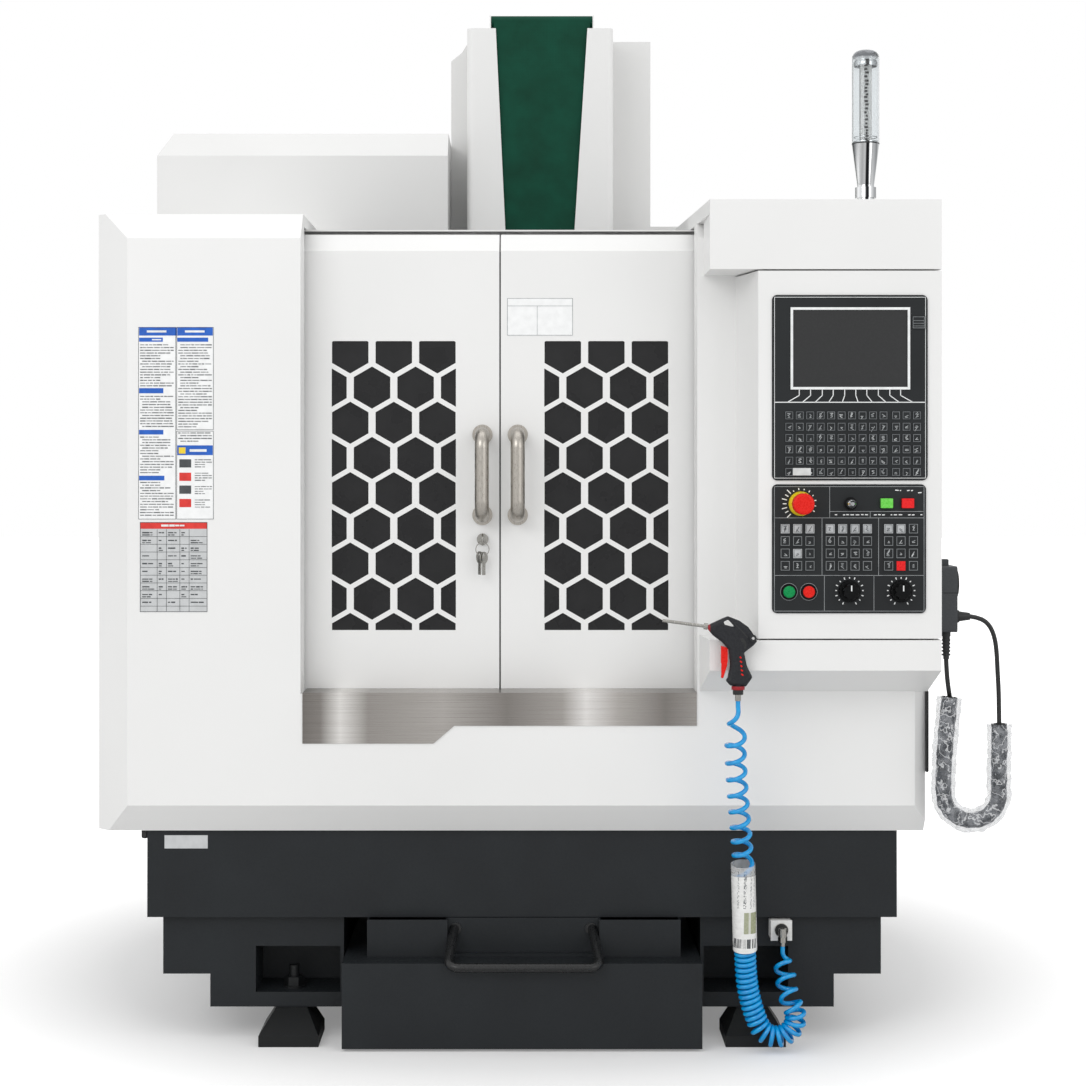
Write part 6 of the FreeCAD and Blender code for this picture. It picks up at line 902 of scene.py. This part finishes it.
def text_rows(left, right, top, low, pitch, width, marks, indent=0.0):
    """Ruled rows of short dashes that stand for printed lines."""
    rows = []
    z = top
    while z > low:
        end = right - marks.choice((0.0, 0.0, 0.1, 0.4)) * (right - left)
        x = left + (indent if marks.random() < 0.3 else 0.0)
        while x < end - 3.0:
            dash = min(marks.uniform(4.0, 15.0), end - x)
            rows.append((x, z, x + dash, z, width * marks.uniform(0.7, 1.1)))
            x += dash + marks.uniform(0.9, 2.0)
        z -= pitch
    return rows


def placards():
    """Two plain instruction tables on the left front: colour fields and ruled lines only."""
    marks = random.Random(7)
    wear(block("placard_sheet", (-745, SHEET_FRONT, 1026), (-598, SKIN_FACE, 1400), 0.2, 1),
         placard_white)
    borders = outline(-744.5, -671.5, 1026.5, 1399.5, 0.9)
    borders += outline(-670.5, -598.5, 1200.0, 1399.5, 0.9)
    borders += outline(-670.5, -598.5, 1026.5, 1198.0, 0.9)
    printed("placard_borders", borders, dark_ink, SHEET_FRONT)
    blue = [(left, (low + high) / 2, left + wide, (low + high) / 2, high - low)
            for left, low, high, wide in (
                (LEFT_TEXT, 1383, 1399, 73), (LEFT_TEXT, 1371, 1379, 46),
                (LEFT_TEXT, 1271, 1281, 47), (LEFT_TEXT, 1191, 1200, 47),
                (LEFT_TEXT, 1102, 1111, 49), (RIGHT_TEXT, 1383, 1399, 69),
                (RIGHT_TEXT, 1371, 1379, 60), (RIGHT_TEXT, 1151, 1170, 69))]
    printed("placard_blue", blue, blue_ink, front=SHEET_FRONT)
    rows = []
    for left, right, top, low, pitch, width, indent in (
            (-741, -676, 1365, 1285, 5.3, 2.0, 4), (-741, -676, 1265, 1205, 5.3, 2.0, 4),
            (-741, -676, 1186, 1115, 5.3, 2.0, 4), (-741, -676, 1098, 1032, 5.3, 2.0, 4),
            (-667, -602, 1365, 1206, 5.3, 2.0, 4), (-667, -602, 1194, 1176, 5.3, 2.0, 4),
            *((-635, -602, top, top - 15, 4.6, 1.7, 0) for top in (1142, 1116, 1090, 1064))):
        rows += text_rows(left, right, top, low, pitch, width, marks, indent)
    printed("placard_rows", rows, text_ink, front=SHEET_FRONT)
    white = [(-728, 1391, -690, 1391, 4.0), (-718, 1375, -700, 1375, 2.4),
             (-654, 1391, -616, 1391, 4.0), (-645, 1160, -612, 1160, 5.0)]
    printed("placard_white", white, line_white, front=INK_FRONT)
    printed("placard_yellow", [(-666, 1160, -653, 1160, 12.0)], yellow_ink,
            INK_FRONT)
    for name, heights, ink, slot in (
            ("placard_picture_fields", (1135, 1084), dark_ink, "panel_black"),
            ("placard_red_fields", (1109, 1058), red_ink, "red_plastic")):
        printed(name, [(PICTURE_LEFT, z, PICTURE_LEFT + 23, z, 16.0) for z in heights], ink,
                SHEET_FRONT)
    wear(block("table_sheet", (-741.5, SHEET_FRONT, 846.5), (-610.5, SKIN_FACE, 1021), 0.2, 1),
         placard_grey)
    printed("table_header", [(-741, 1014.4, -611, 1014.4, 12.6)], red_ink,
            SHEET_FRONT)
    grid = [(-740, z, -612, z, 0.8) for z in range(858, 1008, 15)]
    grid += [(x, 848, x, 1007, 0.8) for x in (-708, -690, -664, -646)]
    grid += outline(-741.3, -610.7, 846.7, 1020.8, 1.0)
    printed("table_grid", grid, dark_ink, SHEET_FRONT)
    printed("table_title", text_rows(-700, -650, 1014.4, 1014.0, 5, 4.0, marks), line_white,
            front=INK_FRONT)
    cells = []
    for row in range(10):
        z = 1000.5 - 15 * row
        for x0, x1 in ((-737, -712), (-705, -694), (-687, -668), (-661, -649), (-643, -615)):
            if marks.random() < 0.85:
                end = x1 - marks.uniform(0.0, 0.3) * (x1 - x0)
                cells += text_rows(x0, end, z, z - 0.1, 5, 2.6, marks)
                if marks.random() < 0.6:
                    cells += text_rows(x0, end, z - 4.4, z - 4.5, 5, 2.0, marks)
    printed("table_cells", cells, dark_ink, SHEET_FRONT)


# ---------- air gun
SWELL = 4.0                    # how far the grip swells towards its foot
SWELL_MIDDLE = 59.0            # below the gun's origin
SWELL_REACH = 22.0


def air_gun():
    """The blow gun's moulded body: the plain solid, rounded all over like a moulding."""
    piece = copy_of(cad["air_gun_body"])
    piece.animation_data_clear()
    pick(piece)
    bpy.ops.object.mode_set(mode="EDIT")
    bpy.ops.mesh.select_all(action="SELECT")
    bpy.ops.mesh.remove_doubles(threshold=0.00005)
    bpy.ops.object.mode_set(mode="OBJECT")
    modified(piece, ("REMESH", {"mode": "VOXEL", "voxel_size": 1.1 * MM}),
             ("SMOOTH", {"factor": 0.5, "iterations": 12}))
    settle(piece, "blow_gun_body")
    for vertex in piece.data.vertices:
        share = 1.0 - min(abs(vertex.co.z / MM - GUN_Z + SWELL_MIDDLE) / SWELL_REACH, 1.0)
        swell = SWELL * share * share * (3.0 - 2.0 * share) * MM
        side = vertex.co.x / MM - (PEG_X - 27.0)
        vertex.co.x += swell * max(min(side / 12.0, 1.0), -1.0)
    wear(piece, gun_grey, smooth=True)
    piece.data.materials.append(dark_red)
    for polygon in piece.data.polygons:
        low = polygon.center.z < (GUN_Z - 78.0) * MM
        if low or polygon.center.x < (PEG_X - 78.5) * MM:
            polygon.material_index = 1
    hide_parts("air_gun_body")
    inlays = []
    for z, half in ((-46, 1.6), (-38, 1.4), (-30, 1.7), (-22, 1.3), (-54, 1.9)):
        x = GUN_X + 5.0 - 0.10 * (z + 38)
        inlays.append((x - half, GUN_Z + z + 1.5, x + half, GUN_Z + z - 1.5, 2.6))
    printed("gun_grip_inlays", inlays, red_abs, GUN_Y - 12.6)
    # painted shade: black strokes stand for the shaded gap between the hook's lever and the body
    gap_shade = [(PEG_X + a, GUN_Z + b, PEG_X + c, GUN_Z + d, w) for a, b, c, d, w in (
        (-38, 45, -21, 28, 2.0), (-21, 28, -9, 14.5, 2.2), (-21, 13, -14, 4, 6.0),
        (-14, 4, -13, -6, 4.0))]
    printed("gun_hook_gap_shade", gap_shade, sheath, GUN_Y - 10.9)
    wear(ring("gun_foot_ring", (GUN_X, GUN_Y, GUN_Z - 83.0), 12.4, 4.0, 6.6, False), dark_red,
         smooth=True)
    wear(ring("gun_foot_sleeve", (GUN_X, GUN_Y, GUN_Z - 92.0), 9.8, 2.4, 8.8, False),
         black_nylon, smooth=True)
    wear(ring("peg_washer", (PEG_X, -941.0, 810.0), 6.4, 3.7, 0.8), black_nylon)
    left, top, wide, tall = PEG_X - 57.5, GUN_Z - 35.0, 12.0, 26.5
    lobe = block("trigger_lower_lobe", (left, GUN_Y - 3.6, top - tall),
                 (left + wide, GUN_Y + 3.6, top), 2.4, 3)
    for vertex in lobe.data.vertices:
        share = (top - vertex.co.z / MM) / tall
        side = (vertex.co.x / MM - left) / wide
        vertex.co.x -= 8.0 * share * side * MM
    wear(lobe, red_abs, "trigger", smooth=True)


# ---------- status lamp
def lamp_core():
    """Light strip inside the signal lamp's tube: a board on the stem with its small lights."""
    boards = []
    for side in (-1, 1):
        boards.append(block("board", (LAMP_X - 11.0, LAMP_Y + side * 6.4 - 0.8, 1745),
                            (LAMP_X + 11.0, LAMP_Y + side * 6.4 + 0.8, 1908), 0.3, 1))
    wear(joined("lamp_boards", boards), white_abs)
    chips = []
    marks = random.Random(3)
    z = 1752.0
    while z < 1902.0:
        wide = marks.uniform(1.6, 3.6)
        x = LAMP_X + marks.uniform(-1.5, 1.5)
        for side in (-1, 1):
            low = LAMP_Y + side * 7.9 - 0.8
            chips.append(block("chip", (x - wide, low, z), (x + wide, low + 1.6, z + 3.8), 0.3, 1))
        z += marks.uniform(4.8, 8.0)
    wear(joined("lamp_lights", chips), black_abs)
    rings = [ring("ring", (LAMP_X, LAMP_Y, z), radius, wall, tall, False)
             for z, radius, wall, tall in ((1747.0, 23.4, 4.0, 3.0), (1757.0, 22.8, 2.4, 1.4),
                                           (1893.0, 22.6, 1.6, 9.0), (1903.0, 21.0, 9.0, 2.0))]
    wear(joined("lamp_inner_rings", rings), lamp_chrome, smooth=True)
    wear(ring("lamp_seam", (LAMP_X, LAMP_Y, 1744.4), 26.3, 3.0, 2.2, False), sheath,
         smooth=True)


# ---------- hose label
def label_sleeve(line):
    """Tube of label and film close round the coil, along the stretch that hangs."""
    hanging = line[:len(line) // 2]
    low, high = (min(hanging, key=lambda point: abs(point.z - level))
                 for level in (SLEEVE_LOW, SLEEVE_HIGH))
    along = high - low
    pick()
    bpy.ops.mesh.primitive_cylinder_add(vertices=64, radius=SLEEVE_RADIUS * MM,
                                        depth=along.length * MM, end_fill_type="NOTHING",
                                        location=(low + high) / 2 * MM,
                                        rotation=along.to_track_quat("Z", "Y").to_euler())
    piece = settle(bpy.context.object, "hose_label_tube")
    modified(piece, ("SOLIDIFY", {"thickness": 0.5 * MM, "offset": 0}))
    wear(piece, sleeve_material(), smooth=True)
    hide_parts("hose_label_sleeve")
    return piece


def sleeve_material():
    """Paper label under clear film, wrapped round the hose: ruled lines, an olive field, bars."""
    material, tree, shader, place = finish("paper_label_laminated", IOR=1.5, Coat_Weight=0.4)
    height = remap(tree, axis(tree, place, "Z"), SLEEVE_LOW * MM, SLEEVE_HIGH * MM)
    across = remap(tree, axis(tree, place, "X"), 0.398, 0.452)

    def band(value, *stops):
        return ramp(tree, value, [(0.0, 0), *stops], "CONSTANT")

    laid = node(tree, "ShaderNodeMapping", {"Vector": place, "Scale": (1.0, 1.0, 0.35)})
    words = node(tree, "ShaderNodeTexNoise", {"Vector": laid.outputs["Vector"], "Scale": 700.0,
                                              "Detail": 2.0}).outputs["Fac"]
    worded = calc(tree, "GREATER_THAN", words, 0.52)
    colour = tint(tree, grain(tree, place, 14, 2.0), "#E9E9E7", "#F6F6F4")
    lanes = band(across, (0.2, 0.7), (0.27, 0), (0.42, 1), (0.52, 0), (0.66, 0.7),
                 (0.72, 0), (0.78, 0.7), (0.83, 0))
    upper = band(height, (0.5, 1), (0.93, 0))
    field = band(height, (0.2, 1), (0.45, 0))
    right = band(across, (0.45, 0.8), (0.62, 0.35), (0.7, 0.9), (0.9, 0))
    bars = calc(tree, "GREATER_THAN", grain(tree, place, 1.6, 1.0, (1, 0.01, 0.01)))
    foot = band(height, (0.03, 1), (0.14, 0))
    inside = band(across, (0.12, 1), (0.9, 0))
    for ink, masks in (("#6F7376", (worded, lanes, upper)), ("#8E9468", (field, right)),
                       ("#55585A", (bars, foot, inside))):
        amount = masks[0]
        for mask in masks[1:]:
            amount = calc(tree, "MULTIPLY", amount, mask)
        colour = mix(tree, amount, colour, linear(ink))
    link(tree, colour, shader, "Base Color")
    # above the paper the film is clear, with a few milky creases
    link(tree, remap(tree, height, 0.865, 0.872, 1.0, 0.3), shader, "Alpha")
    link(tree, spread(tree, grain(tree, place, 5, 2.0), 0.2, 0.35), shader, "Roughness")
    relief(tree, shader, grain(tree, place, 9, 3.0), 0.2, 0.4)
    return material


# ---------- small pieces
def small_trim():
    """The rubber lip between the doors, plain plates without print, and dark edge strips."""
    wear(block("door_seal", (-44.3, -673.4, 692), (-42.0, -655, 1555), 0.6), sheath,
         "right_door")
    wear(block("skirt_plate", (-703, TRAY_FACE - 0.5, 378), (-618, TRAY_FACE, 404), 0.2, 1),
         placard_grey)
    wear(block("door_plate", (-30, DOOR_FACE - 0.5, 1388), (101, DOOR_FACE, 1463), 0.2, 1),
         placard_white, "right_door")
    lines = outline(-29.5, 100.5, 1388.5, 1462.5, 1.0)
    lines += [(-29, 1447, 100, 1447, 0.8), (30, 1389, 30, 1447, 0.8)]
    printed("door_plate_lines", lines, field_line, front=DOOR_FACE - 0.5, body="right_door")
    wear(block("right_edge_strip", (SKIN_SIDE, -742, 533), (SKIN_SIDE + 6, -700, 692), 2.0),
         sheath)
    wear(block("outlet_plate", (OUTLET_X - 21, -722.2, 200), (OUTLET_X + 21, -716, 240), 0.8),
         white_abs)
    wear(ring("outlet_socket", (OUTLET_X, -722.2, OUTLET_Z), 13.0, 8.5, 0.8), sheath)
    wear(ring("outlet_socket_rim", (OUTLET_X, -722.6, OUTLET_Z), 13.6, 1.2, 1.2), plated_steel,
         smooth=True)
    wear(block("left_corner_pad", (-750, -700, 396), (-737, -640, 415), 4.0), sheath)


# ---------- camera and light
def camera():
    """Camera straight in front, level at 1.124 m, with the photograph's framing."""
    data = bpy.data.cameras.new("front_camera")
    data.lens = 70.72
    data.sensor_width = 36.0
    data.shift_x = 0.0193
    data.shift_y = -0.0681
    data.clip_end = 100
    piece = bpy.data.objects.new("front_camera", data)
    piece.location = (0.0, -4.9, 1.124)
    piece.rotation_euler = (math.radians(90), 0, 0)
    bpy.context.collection.objects.link(piece)
    bpy.context.scene.camera = piece


def soft_lamp(name, place, aim, size, power):
    """A rectangular lamp at one point that faces another."""
    data = bpy.data.lights.new(name, "AREA")
    data.shape = "RECTANGLE"
    data.size, data.size_y = size
    data.energy = power
    piece = bpy.data.objects.new(name, data)
    piece.location = place
    piece.rotation_euler = (Vector(aim) - Vector(place)).to_track_quat("-Z", "Y").to_euler()
    bpy.context.collection.objects.link(piece)


def studio():
    """Pale floor, even light from the room and three soft lamps."""
    pick()
    bpy.ops.mesh.primitive_plane_add(size=60, location=(0, 0, -0.0005))
    floor = bpy.context.object
    floor.name = "studio_floor"
    material, tree, shader, place = finish("painted_concrete_white",
                                           Base_Color=linear("#DCDCDC"), Roughness=0.8,
                                           Specular_IOR_Level=0.1, Emission_Color=(1, 1, 1, 1))
    seen = node(tree, "ShaderNodeLightPath").outputs["Is Camera Ray"]
    # the far floor glows to meet the white background, the near floor keeps the shadow
    far = node(tree, "ShaderNodeVectorMath", {0: place}, operation="LENGTH").outputs["Value"]
    glow = remap(tree, far, 0.9, 2.0, 0.22, 0.85)
    link(tree, calc(tree, "MULTIPLY", seen, glow), shader, "Emission Strength")
    floor.data.materials.append(material)
    world = bpy.data.worlds.new("studio")
    bpy.context.scene.world = world
    world.use_nodes = True
    tree = world.node_tree
    tree.nodes.clear()
    rays = node(tree, "ShaderNodeLightPath").outputs
    seen = calc(tree, "MAXIMUM", rays["Is Camera Ray"], rays["Is Transmission Ray"])
    seen = calc(tree, "MAXIMUM", seen, rays["Is Glossy Ray"])
    back = node(tree, "ShaderNodeBackground",
                {"Color": (1, 1, 1, 1), "Strength": remap(tree, seen, 0.0, 1.0, 0.88, 1.0)})
    node(tree, "ShaderNodeOutputWorld", {"Surface": back.outputs["Background"]})
    soft_lamp("key_lamp", (-2.6, -5.2, 3.4), (0, -0.5, 0.9), (3.0, 2.2), 56)
    soft_lamp("fill_lamp", (3.4, -5.0, 2.4), (0, -0.5, 1.0), (2.6, 2.6), 28)
    soft_lamp("top_lamp", (0, -0.6, 5.0), (0, 0, 0.5), (4.0, 3.0), 26)
    bpy.context.scene.view_settings.view_transform = "Standard"


air_hose()
pendant_lead()
dust_curtain()
display_marks()
panel_marks()
panel_rings()
placards()
small_trim()
air_gun()
lamp_core()
camera()
studio()
